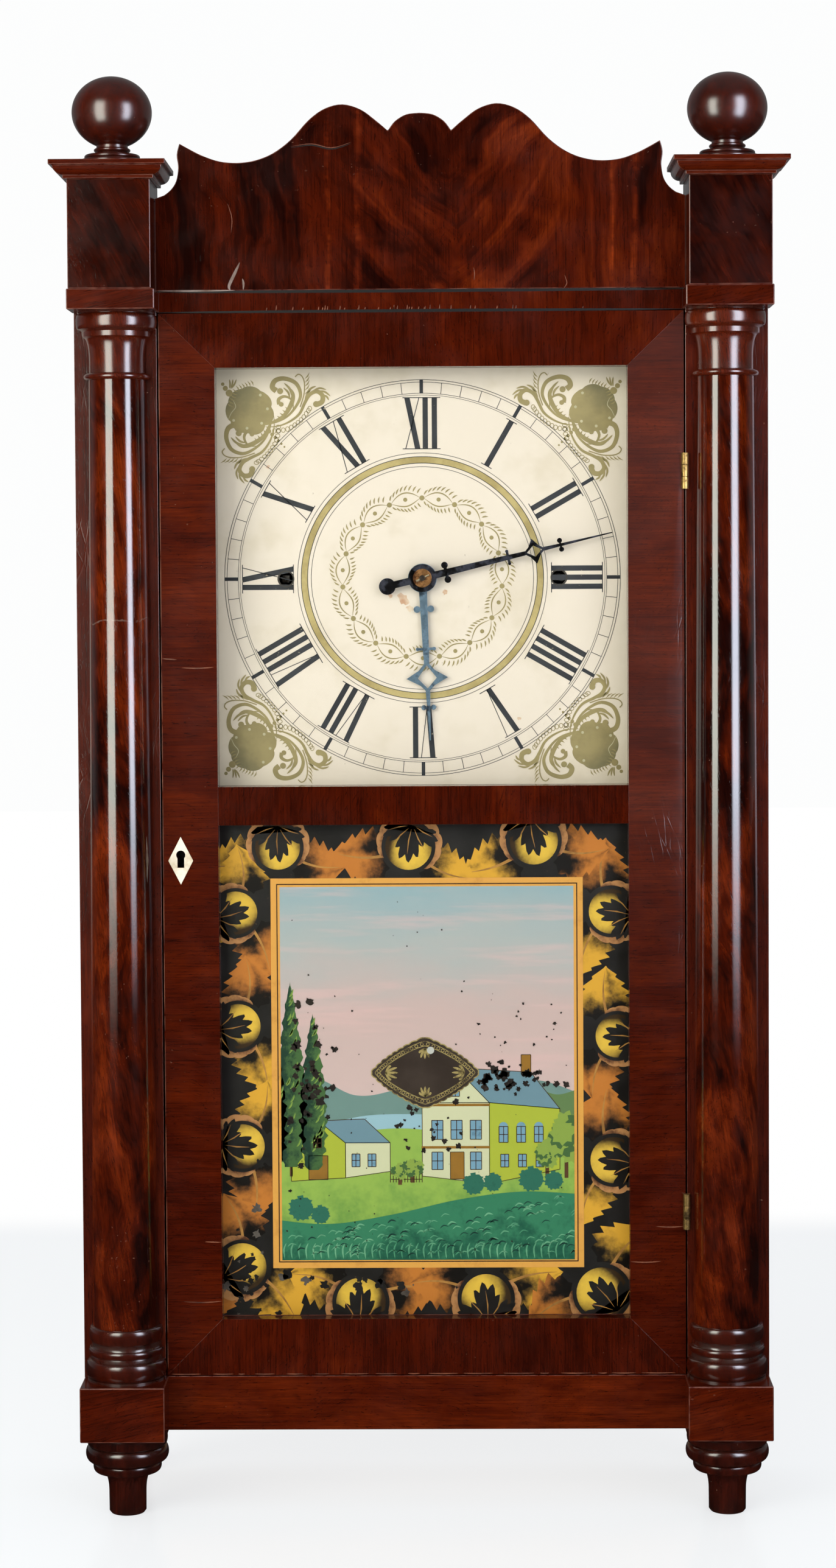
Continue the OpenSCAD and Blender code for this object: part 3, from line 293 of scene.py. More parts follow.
def polished(f, tone, base, flow, grain, craze=0.0, veil=0.0, crack=0.0):
    """Stain, pores, specks and shellac over a tone from 0, dark, to 1, bright"""
    wood = settings("clock_wood")
    half = [m * 0.6 + b * 0.4 for m, b in zip(wood.middle, wood.bright)]
    stain = f.ramp(tone, (0.1, wood.dark), (0.42, wood.middle), (0.66, half), (0.95, wood.bright))
    fine = f.noise(f.place(along(grain, 1100, 36), source=base), 1, 4, 0.65)
    fibres = f.ramp(fine, (0.32, (0.6, 0.56, 0.52)), (0.5, (1, 1, 1)), (0.68, (1.3, 1.25, 1.1)))
    stain = f.mix(1, stain, fibres, "MULTIPLY")
    pores = f.span(f.noise(f.place(along(grain, 1500, 60), source=flow), 1, 2, 0.5), 0.6, 0.7)
    stain = f.mix(f.times(pores, 0.5), stain, [c * 0.3 for c in wood.dark])
    where = f.span(f.noise(base, 18, 3, 0.6), 0.52, 0.68)
    specks = f.times(f.span(f.noise(base, 420, 2, 0.6), 0.7, 0.76), where)
    stain = f.mix(f.times(specks, 0.45), stain, linear(150, 112, 92))
    # Painted light: below the sheen the wood is darkened as painted shade, and its upper part gets a grey
    # painted sheen
    if veil:
        upper = f.span(f.part(axis="Z"), 0.26, 0.5)
        cloud = f.span(f.noise(f.place(along("X", 9, 5), source=base), 1, 4, 0.6), 0.3, 0.7, 0.55, 1.2)
        stain = f.mix(f.sum(1, f.times(upper, cloud), "SUBTRACT", True), stain, (0.78, 0.72, 0.7), "MULTIPLY")
        stain = f.mix(f.times(f.times(upper, cloud), veil), stain, linear(94, 78, 76))
    if crack:
        wander = f.times(f.minus(f.noise(f.place(), 34, 4, 0.6), 0.5), 0.02)
        off = f.size(f.minus(f.sum(f.part(axis="Z"), wander), crack))
        left = f.span(f.part(), -0.1, -0.05, 1, 0)
        line = f.times(f.span(off, 0.0002, 0.00065, 1, 0), left)
        line = f.times(line, f.span(f.noise(f.place(), 260, 2, 0.5), 0.35, 0.5))
        stain = f.mix(f.times(line, 0.6), stain, linear(112, 92, 82))
    grime = f.times(f.attribute("dust"), f.span(f.noise(base, 90, 4, 0.65), 0.3, 0.6))
    stain = f.mix(f.times(grime, 0.7), stain, linear(48, 36, 31))
    rough = f.span(f.noise(base, 28, 4, 0.6), 0.3, 0.75, wood.gloss, wood.gloss + 0.16)
    rough = f.sum(rough, f.times(grime, 0.3))
    waves = f.noise(f.place(along(grain, 60, 16), source=base), 1, 3, 0.5)
    relief = f.bump(waves, 0.00005, 0.45)
    relief = f.bump(f.sum(f.times(pores, -0.5), f.noise(base, 340, 3, 0.6)), 0.00003, 0.4, relief)
    if craze:
        net = f.cells(f.place(along("Z", 170, 42), source=flow))
        patch = f.span(f.noise(base, 14, 3, 0.6), 0.5, 0.62)
        relief = f.bump(f.times(f.span(net, 0, 0.09), patch), 0.0002, craze, relief)
    return f.set(Base_Color=stain, Roughness=rough, Normal=relief, Coat_Normal=relief,
                 Specular_IOR_Level=0.1).material


@once
def crest_flame(name):
    """Crotch veneer: straight streaks at the ends, a feather of flame right of the middle"""
    f = Finish(name, Coat_Weight=0.5, Coat_Roughness=0.04, Coat_IOR=SHELLAC_IOR)
    base = f.place()
    flow = bent(f, bent(f, base, 7, 0.05), 30, 0.012)
    x = f.part(flow, "X")
    z = f.part(flow, "Z")
    across = f.size(f.minus(x, 0.02))
    rise = f.minus(z, f.times(across, 1.15))
    feather = f.node("CombineXYZ", {"X": f.times(across, 14), "Y": 0.3, "Z": f.times(rise, 34)}).outputs[0]
    swirl = f.noise(f.place((1, 1, 1.3), source=flow), 17, 3, 0.55, 1.2)
    flame = f.sum(f.times(f.noise(feather, 1, 5, 0.6, 0.9), 0.55), f.times(swirl, 0.45))
    streak = f.noise(f.place(along("Z", 130, 6), source=flow), 1, 4, 0.6, 0.2)
    broad = f.noise(f.place(along("Z", 26, 5), source=flow), 1, 2, 0.5, 0.5)
    plain = f.sum(f.times(streak, 0.45), f.times(broad, 0.55))
    where = f.span(across, 0.045, 0.09, 1, 0)
    mixed = f.node("Mix", {0: where, 2: f.times(f.minus(plain, 0.5), 1.9),
                           3: f.times(f.minus(flame, 0.5), 2.4)}).outputs[0]
    side = f.span(f.part(axis="X"), -0.11, 0.13, -0.05, 0.13)
    tone = f.sum(f.sum(mixed, 0.27), side)
    straight = f.part(f.place(source=bent(f, base, 20, 0.006)), "X")
    for at, wide in ((-0.0562, 0.0013), (-0.0378, 0.0016), (0.132, 0.0014), (0.118, 0.001)):
        near = f.span(f.size(f.minus(straight, at)), 0, wide * 2.2, 1, 0)
        broken = f.span(f.noise(f.place((40, 1, 90)), 1, 3, 0.6), 0.35, 0.62)
        tone = f.sum(tone, f.times(f.times(near, broken), 0.32))
    return polished(f, tone, base, flow, "Z")


@once
def worn_edge(name):
    """Rubbed arris of the mahogany"""
    wood = settings("clock_wood")
    f = Finish(name, Coat_Weight=0.4, Coat_Roughness=0.2)
    spots = f.noise(f.place(), 130, 4, 0.65)
    stain = f.ramp(spots, (0.42, [c * 1.2 for c in wood.middle]), (0.58, [c * 0.8 for c in wood.worn]),
                   (0.72, wood.worn))
    return f.set(Base_Color=stain, Roughness=f.span(spots, 0.3, 0.7, 0.25, 0.5)).material


@once
def raw_wood(name, grain="Z", tone=(150, 112, 74), deep=(96, 66, 42)):
    """Unpolished secondary wood"""
    f = Finish(name, Specular_IOR_Level=0.3)
    base = f.place()
    warp = f.noise(base, 3.2, 2, 0.5, out="Color")
    flow = f.move(base, f.scale(warp, 0.05))
    rings = f.noise(f.place(along(grain, 60, 3), source=flow), 1, 4, 0.6, 0.4)
    fine = f.noise(f.place(along(grain, 700, 16), source=flow), 1, 3, 0.6)
    deep, tone = linear(*deep), linear(*tone)
    stain = f.ramp(f.sum(f.times(rings, 0.7), f.times(fine, 0.3)), (0.3, deep), (0.48, tone),
                   (0.64, [c * 1.25 for c in tone]))
    dirt = f.span(f.noise(base, 9, 4, 0.6), 0.48, 0.7)
    stain = f.mix(f.times(dirt, 0.25), stain, [c * 0.45 for c in deep])
    relief = f.bump(fine, 0.00025, 0.5, f.bump(rings, 0.0006, 0.35))
    return f.set(Base_Color=stain, Roughness=f.span(fine, 0.3, 0.7, 0.6, 0.85), Normal=relief).material


@once
def metal(name, tone, deep, rough=0.3, age=0.5, metallic=1.0, pits=0.3):
    """Aged metal: deep is the colour of its tarnish"""
    f = Finish(name, Metallic=metallic)
    base = f.place()
    cloud = f.noise(base, 110, 5, 0.65)
    tarnish = f.span(cloud, 0.62 - age * 0.3, 0.78 - age * 0.3)
    stain = f.mix(tarnish, linear(*tone), linear(*deep))
    fine = f.noise(base, 900, 3, 0.6)
    stain = f.mix(1, stain, f.ramp(fine, (0.3, (0.8, 0.8, 0.8)), (0.7, (1.1, 1.1, 1.1))), "MULTIPLY")
    roughness = f.sum(f.span(cloud, 0.3, 0.7, rough, rough + 0.2), f.times(tarnish, 0.15))
    relief = f.bump(f.sum(cloud, f.times(fine, 0.3)), 0.0001, pits)
    return f.set(Base_Color=stain, Roughness=roughness, Normal=relief).material


@once
def paint(name, tone, deep=None, rough=0.45, scale=60.0, relief=0.2):
    """A brushed paint that wanders between two tones"""
    f = Finish(name, Specular_IOR_Level=0.3)
    base = f.place()
    cloud = f.noise(base, scale, 4, 0.65)
    deep = deep or [c * 0.8 for c in tone]
    stain = f.mix(f.span(cloud, 0.35, 0.68), tone, deep)
    return f.set(Base_Color=stain, Roughness=rough,
                 Normal=f.bump(f.noise(base, 500, 2, 0.5), 0.00003, relief)).material


@once
def shaded_paint(name, light, deep, wander=0.35, scale=80.0):
    """A paint that runs from its light to its deep tone with the shade of the shape"""
    f = Finish(name, Specular_IOR_Level=0.25)
    base = f.place()
    cloud = f.span(f.noise(base, scale, 4, 0.7), 0.3, 0.7, -wander, wander, smooth=False)
    depth = f.sum(f.attribute("shade"), cloud, clamp=True)
    stain = f.mix(f.span(depth, 0.1, 0.85), light, deep)
    return f.set(Base_Color=stain, Roughness=0.5).material


@once
def flecked(name, tone, fleck, amount=0.5, rough=0.45, scale=260.0):
    """A paint with small chips that show a paler ground"""
    f = Finish(name, Specular_IOR_Level=0.35)
    base = f.place()
    chips = f.span(f.noise(base, scale, 4, 0.72), 0.74 - amount * 0.14, 0.77 - amount * 0.14)
    cloud = f.noise(base, 40, 4, 0.6)
    stain = f.mix(f.span(cloud, 0.3, 0.75), tone, [c * 1.5 + 0.006 for c in tone])
    return f.set(Base_Color=f.mix(f.times(chips, 0.75), stain, fleck), Roughness=rough).material


# Shapes

def new_piece(bm, name, body, materials, replaces=(), angle=15):
    """Turns a bmesh into a piece that rides on a body"""
    mesh = bpy.data.meshes.new(name)
    bm.to_mesh(mesh)
    bm.free()
    for material in materials:
        mesh.materials.append(material)
    mesh.shade_smooth()
    mesh.set_sharp_from_angle(angle=math.radians(angle))
    obj = bpy.data.objects.new(name, mesh)
    bpy.context.scene.collection.objects.link(obj)
    if body:
        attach(obj, body)
    if replaces:
        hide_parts(*replaces)
    return obj


def start():
    bm = bmesh.new()
    bm.verts.layers.float.new("dust")
    return bm


def soften(bm, edges, width):
    """Rounds edges and gives the new faces the second material"""
    if edges:
        made_faces = bmesh.ops.bevel(bm, geom=list(edges), offset=width, offset_type="OFFSET", affect="EDGES",
                                     segments=2, profile=0.5, material=-1, clamp_overlap=True)["faces"]
        for face in made_faces:
            face.material_index = 1


def copy_node(bm, node, width):
    """Adds a merged copy of a CAD node and rubs its sharp edges by a width in mm"""
    bm.from_mesh(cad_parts[node].data)
    bmesh.ops.remove_doubles(bm, verts=bm.verts, dist=WELD)
    bmesh.ops.dissolve_limit(bm, angle_limit=math.radians(0.6), verts=bm.verts, edges=bm.edges,
                             use_dissolve_boundaries=False, delimit=set())
    for face in bm.faces:
        face.material_index = 0
    soften(bm, [e for e in bm.edges if e.is_manifold and e.calc_face_angle() > SHARP], width * MM)


def rubbed(node, name, body, width, materials, angle=15):
    """Turns a CAD node into a piece with rubbed edges"""
    bm = start()
    copy_node(bm, node, width)
    return new_piece(bm, name, body, materials, [node], angle)


def bead(neck, radius, low, high, dust=0.0, n=10):
    """Outline of a rounded ring"""
    turns = [math.pi * i / n for i in range(n + 1)]
    return [(neck + (radius - neck) * math.sin(t), low + (high - low) * (1 - math.cos(t)) / 2,
             dust * abs(math.cos(t)) ** 4) for t in turns]


def flare(r0, r1, low, high, n=10):
    """Outline that bends outwards as it rises"""
    turns = [math.pi / 2 * i / n for i in range(n + 1)]
    return [(r0 + (r1 - r0) * (1 - math.cos(t)), low + (high - low) * math.sin(t), 0) for t in turns]


def turned(bm, at, outline, half=False, steps=72):
    """Spins an outline of (radius, height, dust) points, in mm, round the upright axis through at"""
    layer = bm.verts.layers.float["dust"]
    at = Vector(at) * MM
    outline = [(0, outline[0][1], 0), *outline, (0, outline[-1][1], 0)]
    verts = []
    for radius, height, dust in outline:
        v = bm.verts.new(at + Vector((radius, 0, height)) * MM)
        v[layer] = dust
        verts.append(v)
    edges = [bm.edges.new(pair) for pair in zip(verts, verts[1:])]
    before = set(bm.verts) - set(verts)
    bmesh.ops.spin(bm, geom=verts + edges, cent=at, axis=(0, 0, 1), angle=-math.pi if half else 2 * math.pi,
                   steps=steps // 2 if half else steps, use_merge=not half, use_duplicate=False)
    mine = [v for v in bm.verts if v not in before]
    bmesh.ops.remove_doubles(bm, verts=mine, dist=WELD)
    mine = [v for v in bm.verts if v not in before]
    if half:
        rim = [e for e in {e for v in mine for e in v.link_edges} if e.is_boundary]
        bmesh.ops.holes_fill(bm, edges=rim, sides=0)
    bmesh.ops.recalc_face_normals(bm, faces=list({f for v in mine for f in v.link_faces}))


def spline(points, n=6):
    """Smooth path through points, with n steps between two of them"""
    ends = [points[0], *points, points[-1]]
    path = []
    for near in zip(ends, ends[1:], ends[2:], ends[3:]):
        for i in range(n):
            t = i / n
            path.append(tuple(0.5 * (2 * b + (c - a) * t + (2 * a - 5 * b + 4 * c - d) * t * t
                                     + (3 * b - a - 3 * c + d) * t ** 3) for a, b, c, d in zip(*near)))
    return path + [tuple(points[-1])]


def polar(centre, radius, degrees):
    """Point at a clock angle, clockwise from the top"""
    a = math.radians(degrees)
    return centre[0] + radius * math.sin(a), centre[1] + radius * math.cos(a)


class Painting:
    """Flat shapes in mm, stacked in front of each other: a higher layer is nearer to the viewer"""
    step = 0.02

    def __init__(self, y):
        self.bm = bmesh.new()
        self.shade = self.bm.verts.layers.float.new("shade")
        self.finishes = []
        self.y = y

    def settle(self, verts, finish, join=True):
        if join:
            bmesh.ops.remove_doubles(self.bm, verts=verts, dist=1e-7)
        if finish not in self.finishes:
            self.finishes.append(finish)
        faces = {f for v in verts if v.is_valid for f in v.link_faces}
        for face in faces:
            face.normal_update()
            face.material_index = self.finishes.index(finish)
        back = [f for f in faces if f.normal.y > 0]
        if back:
            bmesh.ops.reverse_faces(self.bm, faces=back)

    def patch(self, n, m, place, finish, layer, join=True):
        """Bends a grid of n by m cells: place turns a spot from 0 to 1 into x, z and shade"""
        verts = bmesh.ops.create_grid(self.bm, x_segments=n, y_segments=m, size=0.5)["verts"]
        y = self.y - self.step * layer
        for v in verts:
            x, z, shade = place(v.co.x + 0.5, v.co.y + 0.5)
            v.co = Vector((x, y, z)) * MM
            v[self.shade] = shade
        self.settle(verts, finish, join)

    def blob(self, outline, finish, layer):
        verts = bmesh.ops.create_circle(self.bm, cap_ends=True, segments=len(outline), radius=1)["verts"]
        y = self.y - self.step * layer
        for v, (x, z) in zip(verts, outline):
            v.co = Vector((x, y, z)) * MM
        self.settle(verts, finish, False)

    def panel(self, low, high, n, shade, finish, layer):
        """A rectangle of n by n cells between two corners"""
        wide, tall = high[0] - low[0], high[1] - low[1]
        self.patch(n, n, lambda u, v: (low[0] + u * wide, low[1] + v * tall, shade), finish, layer)

    def chip(self, centre, radius, low, high, finish, layer, n=15):
        """A ragged spot whose edge lies at random between low and high times its radius"""
        self.blob([polar(centre, radius * random.uniform(low, high), 360 / n * i) for i in range(n)], finish,
                  layer)

    def tuft(self, centre, radius, wave, pace, first, finish, layer, n=18):
        """A spot with a wavy edge"""
        self.blob([polar(centre, radius * (1 + wave * math.sin(i * pace + first)), 360 / n * i)
                   for i in range(n)], finish, layer)

    def dot(self, centre, radius, finish, layer, n=14):
        self.blob([polar(centre, radius, 360 * i / n) for i in range(n)], finish, layer)

    def ring(self, centre, inner, outer, finish, layer, n=180):
        def place(u, v):
            return (*polar(centre, inner + (outer - inner) * v, 360 * u), v)
        self.patch(n, 1, place, finish, layer)

    def ribbon(self, path, width, finish, layer, taper=0.0):
        """A line along a path: taper 1 points both ends, 2 only the last one, -2 only the first"""
        n = len(path) - 1

        def place(u, v):
            i = round(u * n)
            a, b = Vector(path[max(i - 1, 0)]), Vector(path[min(i + 1, n)])
            way = (b - a).normalized() if (b - a).length else Vector((1, 0))
            wide = width
            if taper == 1:
                wide *= max(math.sin(math.pi * u), 0.04) ** 0.7
            elif taper == 2:
                wide *= max(1 - u, 0.02) ** 0.7
            elif taper == -2:
                wide *= max(u, 0.02) ** 0.7
            return (path[i][0] - way.y * wide * (v - 0.5), path[i][1] + way.x * wide * (v - 0.5), v)
        self.patch(n, 1, place, finish, layer, False)

    def curve(self, points, n, width, finish, layer, taper=0.0):
        """A ribbon through points, with n steps between two of them"""
        self.ribbon(spline(points, n), width, finish, layer, taper)

    def line(self, a, b, width, finish, layer):
        """A straight line"""
        self.ribbon([a, tuple((Vector(a) + Vector(b)) / 2), b], width, finish, layer)

    def disc(self, centre, radius, finish, layer, dark=0, depth=1.0, n=36):
        """A ball: shade grows towards the rim on the side that a clock angle names"""
        def place(u, v):
            side = 0.5 + 0.5 * math.cos(math.radians(360 * u - dark))
            return (*polar(centre, radius * v, 360 * u), depth * min(1, v * v * (0.25 + side)))
        self.patch(n, 5, place, finish, layer)

    def leaf(self, base, tip, half, finish, layer, teeth=6, bend=0.0, cut=0.3, dark=1.0, rib=None):
        """A toothed leaf: shade grows towards its foot and its middle"""
        base, tip = Vector(base), Vector(tip)
        way = tip - base
        across = Vector((-way.y, way.x)).normalized()
        n = teeth * 4

        def spot(u, v):
            saw = (u * teeth) % 1
            wide = half * math.sin(math.pi * min(u + 0.02, 1) ** 0.75) ** 0.8
            wide *= 1 - cut * saw if 0 < u < 1 else 0
            j = 2 * v - 1
            point = base + way * (u + 0.07 * abs(j) * (1 - u)) + across * (
                wide * j + bend * way.length * math.sin(math.pi * u))
            return point, dark * (max(0, 1 - 1.5 * u) + (0.6 if v < 0.5 else 0.1) * (1 - abs(j)))

        def place(u, v):
            point, shade = spot(u, v)
            return point.x, point.y, shade
        self.patch(n, 6, place, finish, layer)
        if rib:
            self.ribbon([tuple(spot(i / 12, 0.5)[0]) for i in range(12)], half * 0.12, rib, layer + 1, 2)

    def cut(self, low, high):
        """Cuts the shapes off outside a rectangle"""
        for co, no in (((low[0], 0, 0), (-1, 0, 0)), ((high[0], 0, 0), (1, 0, 0)),
                       ((0, 0, low[1]), (0, 0, -1)), ((0, 0, high[1]), (0, 0, 1))):
            bmesh.ops.bisect_plane(self.bm, geom=self.bm.verts[:] + self.bm.edges[:] + self.bm.faces[:],
                                   plane_co=Vector(co) * MM, plane_no=no, clear_outer=True, dist=1e-8)

    def hang(self, name, body):
        return new_piece(self.bm, name, body, self.finishes)


# The stage

def lamp(name, azimuth, width, distance, low, high, power, tone, fade, *unseen):
    """A softbox in front of the clock: azimuth is seen from the clock, positive to the right, width is in
    degrees, fade is the share of each edge that is soft, and unseen lists the rays that miss the lamp"""
    light = bpy.data.lights.new(name, "AREA")
    light.shape = "RECTANGLE"
    light.size = 2 * distance * math.tan(math.radians(width / 2))
    light.size_y = high - low
    light.color = (1, 1, 1)
    light.energy = math.pi * light.size * light.size_y
    light.use_nodes = True
    f = Nodes(light.node_tree)
    spot = f.node("NewGeometry").outputs["Parametric"]
    total = 1.0
    for axis, edge in zip("XY", fade):
        for low_end, high_end in ((0, edge), (1, 1 - edge)):
            total = f.times(total, f.span(f.part(spot, axis), low_end, high_end))
    glow = f.tree.nodes["Emission"]
    f.put(glow.inputs["Strength"], f.times(total, power))
    f.put(glow.inputs["Color"], tone)
    obj = bpy.data.objects.new(name, light)
    bpy.context.scene.collection.objects.link(obj)
    a = math.radians(azimuth)
    obj.location = (distance * math.sin(a), COLUMN_Y * MM - distance * math.cos(a), (low + high) / 2)
    obj.rotation_euler = (math.pi / 2, 0, a)
    for rays in unseen:
        setattr(obj, "visible_" + rays, False)


class CLOCK_OT_stage(bpy.types.Operator):
    """Makes the floor, the surroundings, the lamps and the camera"""
    bl_idname = "clock.stage"
    bl_label = "Stage"

    def execute(self, context):
        stage = settings("clock_stage")
        context.scene.view_settings.view_transform = "Standard"
        self.floor(context.scene, stage)
        self.surroundings(context.scene)
        lamp("left_softbox", -43, 41, 2.2, 0.0, 2.2, stage.left_lamp, linear(255, 254, 246), (0.05, 0.2),
             "glossy")
        lamp("right_softbox", 40, 31, 2.2, 0.0, 2.2, stage.right_lamp, linear(246, 247, 255), (0.2, 0.2),
             "glossy")
        lamp("left_reflection", -38.5, 29.6, 0.9, 0.17, 1.44, stage.left_shine, linear(249, 253, 241),
             (0.16, 0.24), "diffuse", "camera")
        lamp("right_reflection", 42, 33.4, 0.9, 0.17, 1.44, stage.right_shine, linear(230, 236, 252),
             (0.34, 0.24), "diffuse", "camera")
        lamp("fill", 0, 60, 2.4, 0.7, 2.3, stage.fill_lamp, (1, 1, 1), (0.2, 0.2), "glossy")
        self.camera(context.scene, stage)
        return {"FINISHED"}

    def floor(self, scene, stage):
        """A pale floor that runs to white behind the clock and is dark in reflections"""
        bm = bmesh.new()
        bmesh.ops.create_grid(bm, x_segments=8, y_segments=8, size=6)
        mesh = bpy.data.meshes.new("floor")
        bm.to_mesh(mesh)
        bm.free()
        floor = bpy.data.objects.new("floor", mesh)
        scene.collection.objects.link(floor)
        f = Finish("floor_white", Base_Color=[c * 0.42 for c in stage.floor], Roughness=0.16,
                   Specular_IOR_Level=0.5, Emission_Color=(0.97, 0.985, 1), Emission_Strength=0.67)
        white = f.node("Emission", {"Color": (1, 1, 1), "Strength": 1.0}).outputs[0]
        far = f.span(f.part(axis="Y"), 0.78, 0.9)
        pale = f.node("MixShader", {0: far, 1: f.shader.outputs[0], 2: white}).outputs[0]
        dim = f.node("BsdfDiffuse", {"Color": (0.006, 0.006, 0.006)}).outputs[0]
        mirrored = f.node("LightPath").outputs["Is Glossy Ray"]
        f.put(f.out.inputs[0], f.node("MixShader", {0: mirrored, 1: pale, 2: dim}).outputs[0])
        mesh.materials.append(f.material)

    def surroundings(self, scene):
        """White behind the clock and above it, dark in front, dimmer in reflections"""
        scene.world = bpy.data.worlds.new("studio")
        scene.world.use_nodes = True
        f = Nodes(scene.world.node_tree)
        rays = f.node("LightPath").outputs
        way = f.node("TexCoord").outputs["Generated"]
        behind = f.span(f.part(way, "Y"), -0.2, 0.5, 0.01, 1.0)
        above = f.span(f.part(way, "Z"), 0.6, 0.95, 0.0, 0.9)
        mirrored = f.span(rays["Is Glossy Ray"], 0, 1, 1.0, 0.16, smooth=False)
        lit = f.tree.nodes["Background"]
        f.put(lit.inputs["Color"], (0.97, 0.985, 1))
        f.put(lit.inputs["Strength"], f.times(f.sum(behind, above, "MAXIMUM"), mirrored))
        seen = f.node("Background", {"Color": (0.98, 0.985, 0.985)})
        pick = f.node("MixShader", {0: rays["Is Camera Ray"], 1: lit.outputs[0], 2: seen.outputs[0]})
        f.put(f.tree.nodes["World Output"].inputs[0], pick.outputs[0])

    def camera(self, scene, stage):
        """A camera a little above the middle of the clock, with the photo's slight turn"""
        camera = bpy.data.cameras.new("camera")
        camera.sensor_width = 36
        camera.lens = 72.46
        camera.shift_y = -0.0454
        obj = bpy.data.objects.new("camera", camera)
        scene.collection.objects.link(obj)
        obj.location = (0.02, -0.066 - stage.distance, stage.height)
        obj.rotation_euler = [math.radians(a) for a in (90 - 2.4, 0.34, 0.66)]
        scene.camera = obj


# Case

def wood_set(*options, **look):
    """A mahogany and its rubbed edge"""
    return [mahogany(*options, **look), worn_edge("mahogany_worn")]


class CLOCK_OT_case(bpy.types.Operator):
    """Makes the boards, stiles, apron and blocks of the case"""
    bl_idname = "clock.case"
    bl_label = "Case"

    def execute(self, context):
        rubbed("side_boards", "side_boards_polished", "case", 0.9,
               wood_set("mahogany_sides", lift=-0.02))
        rubbed("front_stiles", "front_stiles_polished", "case", 0.5,
               wood_set("mahogany_stiles", figure=0.45, craze=0.15, polish=0.18))
        rubbed("top_board", "top_board_polished", "case", 0.35,
               [mahogany("mahogany_top", lift=-0.04)] * 2)
        rubbed("apron_rail", "apron_polished", "case", 0.4,
               wood_set("mahogany_apron", "X", figure=0.45, lift=0.1))
        rubbed("column_blocks", "column_blocks_polished", "case", 0.7,
               wood_set("mahogany_blocks", "X", figure=0.45, lift=-0.02, turn=12))
        rubbed("die_blocks", "die_blocks_polished", "case", 0.5,
               wood_set("mahogany_dies", figure=0.6, lift=-0.2, turn=28, seed=3))
        rubbed("cap_mouldings", "cap_mouldings_polished", "case", 0.35,
               wood_set("mahogany_caps", "X", figure=0.35, lift=0.1))
        rubbed("crest_board", "crest_flame_board", "case", 0.5,
               [crest_flame("mahogany_flame"), worn_edge("mahogany_worn")])
        self.wear()
        set_finish("bottom_board", raw_wood("pine_bottom", "X"))
        set_finish("back_board", raw_wood("pine_back", "Z"))
        return {"FINISHED"}

    def wear(self):
        """Seams, chips, a dark line on a crest seam, and painted shadow in the gaps under and over the top
        board
        """
        pale = paint("wear_pale", linear(138, 124, 118), linear(92, 70, 60))
        seam = paint("wear_seam", linear(118, 66, 42), linear(60, 28, 18))
        # A near-black paint: a dark line along a crest seam, and painted shadow in the gaps over and under
        # the top board
        dark = paint("wear_dark", linear(6, 3, 2))
        wear_and_shadow_lines("crest_wear", "case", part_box("crest_board")[0].y / MM - 0.03,
                   (pale, 1.9, [(-110.8, 776), (-113.6, 770), (-117.4, 762), (-116.8, 759)]),
                   (pale, 1.2, [(-109.2, 766), (-108.6, 763), (-108.8, 759.2)]),
                   (pale, 1.1, [(-161, 758.9), (-140, 758.7), (-114, 758.9)]),
                   (seam, 0.45, [(-79, 846.5), (-66, 848), (-54, 845.5), (-42, 848.8)],
                    [(-118, 812), (-115.4, 803), (-116, 794)], [(33, 764), (33.4, 768), (32.8, 772)],
                    [(88, 758.8), (90, 762), (88.6, 767)]),
                   (dark, 0.8, [(-79, 845.7), (-66, 847.2), (-54, 844.7), (-42, 848)]))
        random.seed(2)
        ticks = []
        for i in range(34):
            x = random.gauss(-8, 46)
            ticks.append([(x, 746.2), (x + 0.3, 747.2), (x + 0.5, 746.4 + random.uniform(1.2, 3.2))])
        wear_and_shadow_lines("top_board_wear_and_gap_shadow", "case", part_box("top_board")[0].y / MM - 0.03, (seam, 0.6, *ticks),
                   # Painted shadow: black strips where the gaps over and under the top board fall in shade
                   (dark, 1.7, [(-163, 757.8), (0, 757.8), (163, 757.8)]),
                   (dark, 1.9, [(-163, 745.6), (0, 745.8), (163, 745.7)]))


def wear_and_shadow_lines(name, body, y, *groups):
    """Seams, cracks, scuffs and painted gap shadows: each group is a finish, a width and its paths"""
    sheet = Painting(y)
    for finish, width, *paths in groups:
        for path in paths:
            sheet.curve(path, 4, width, finish, 1, 1)
    sheet.hang(name, body)


def set_finish(node, material):
    """Gives a CAD node its finish"""
    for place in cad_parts[node].material_slots:
        place.material = material


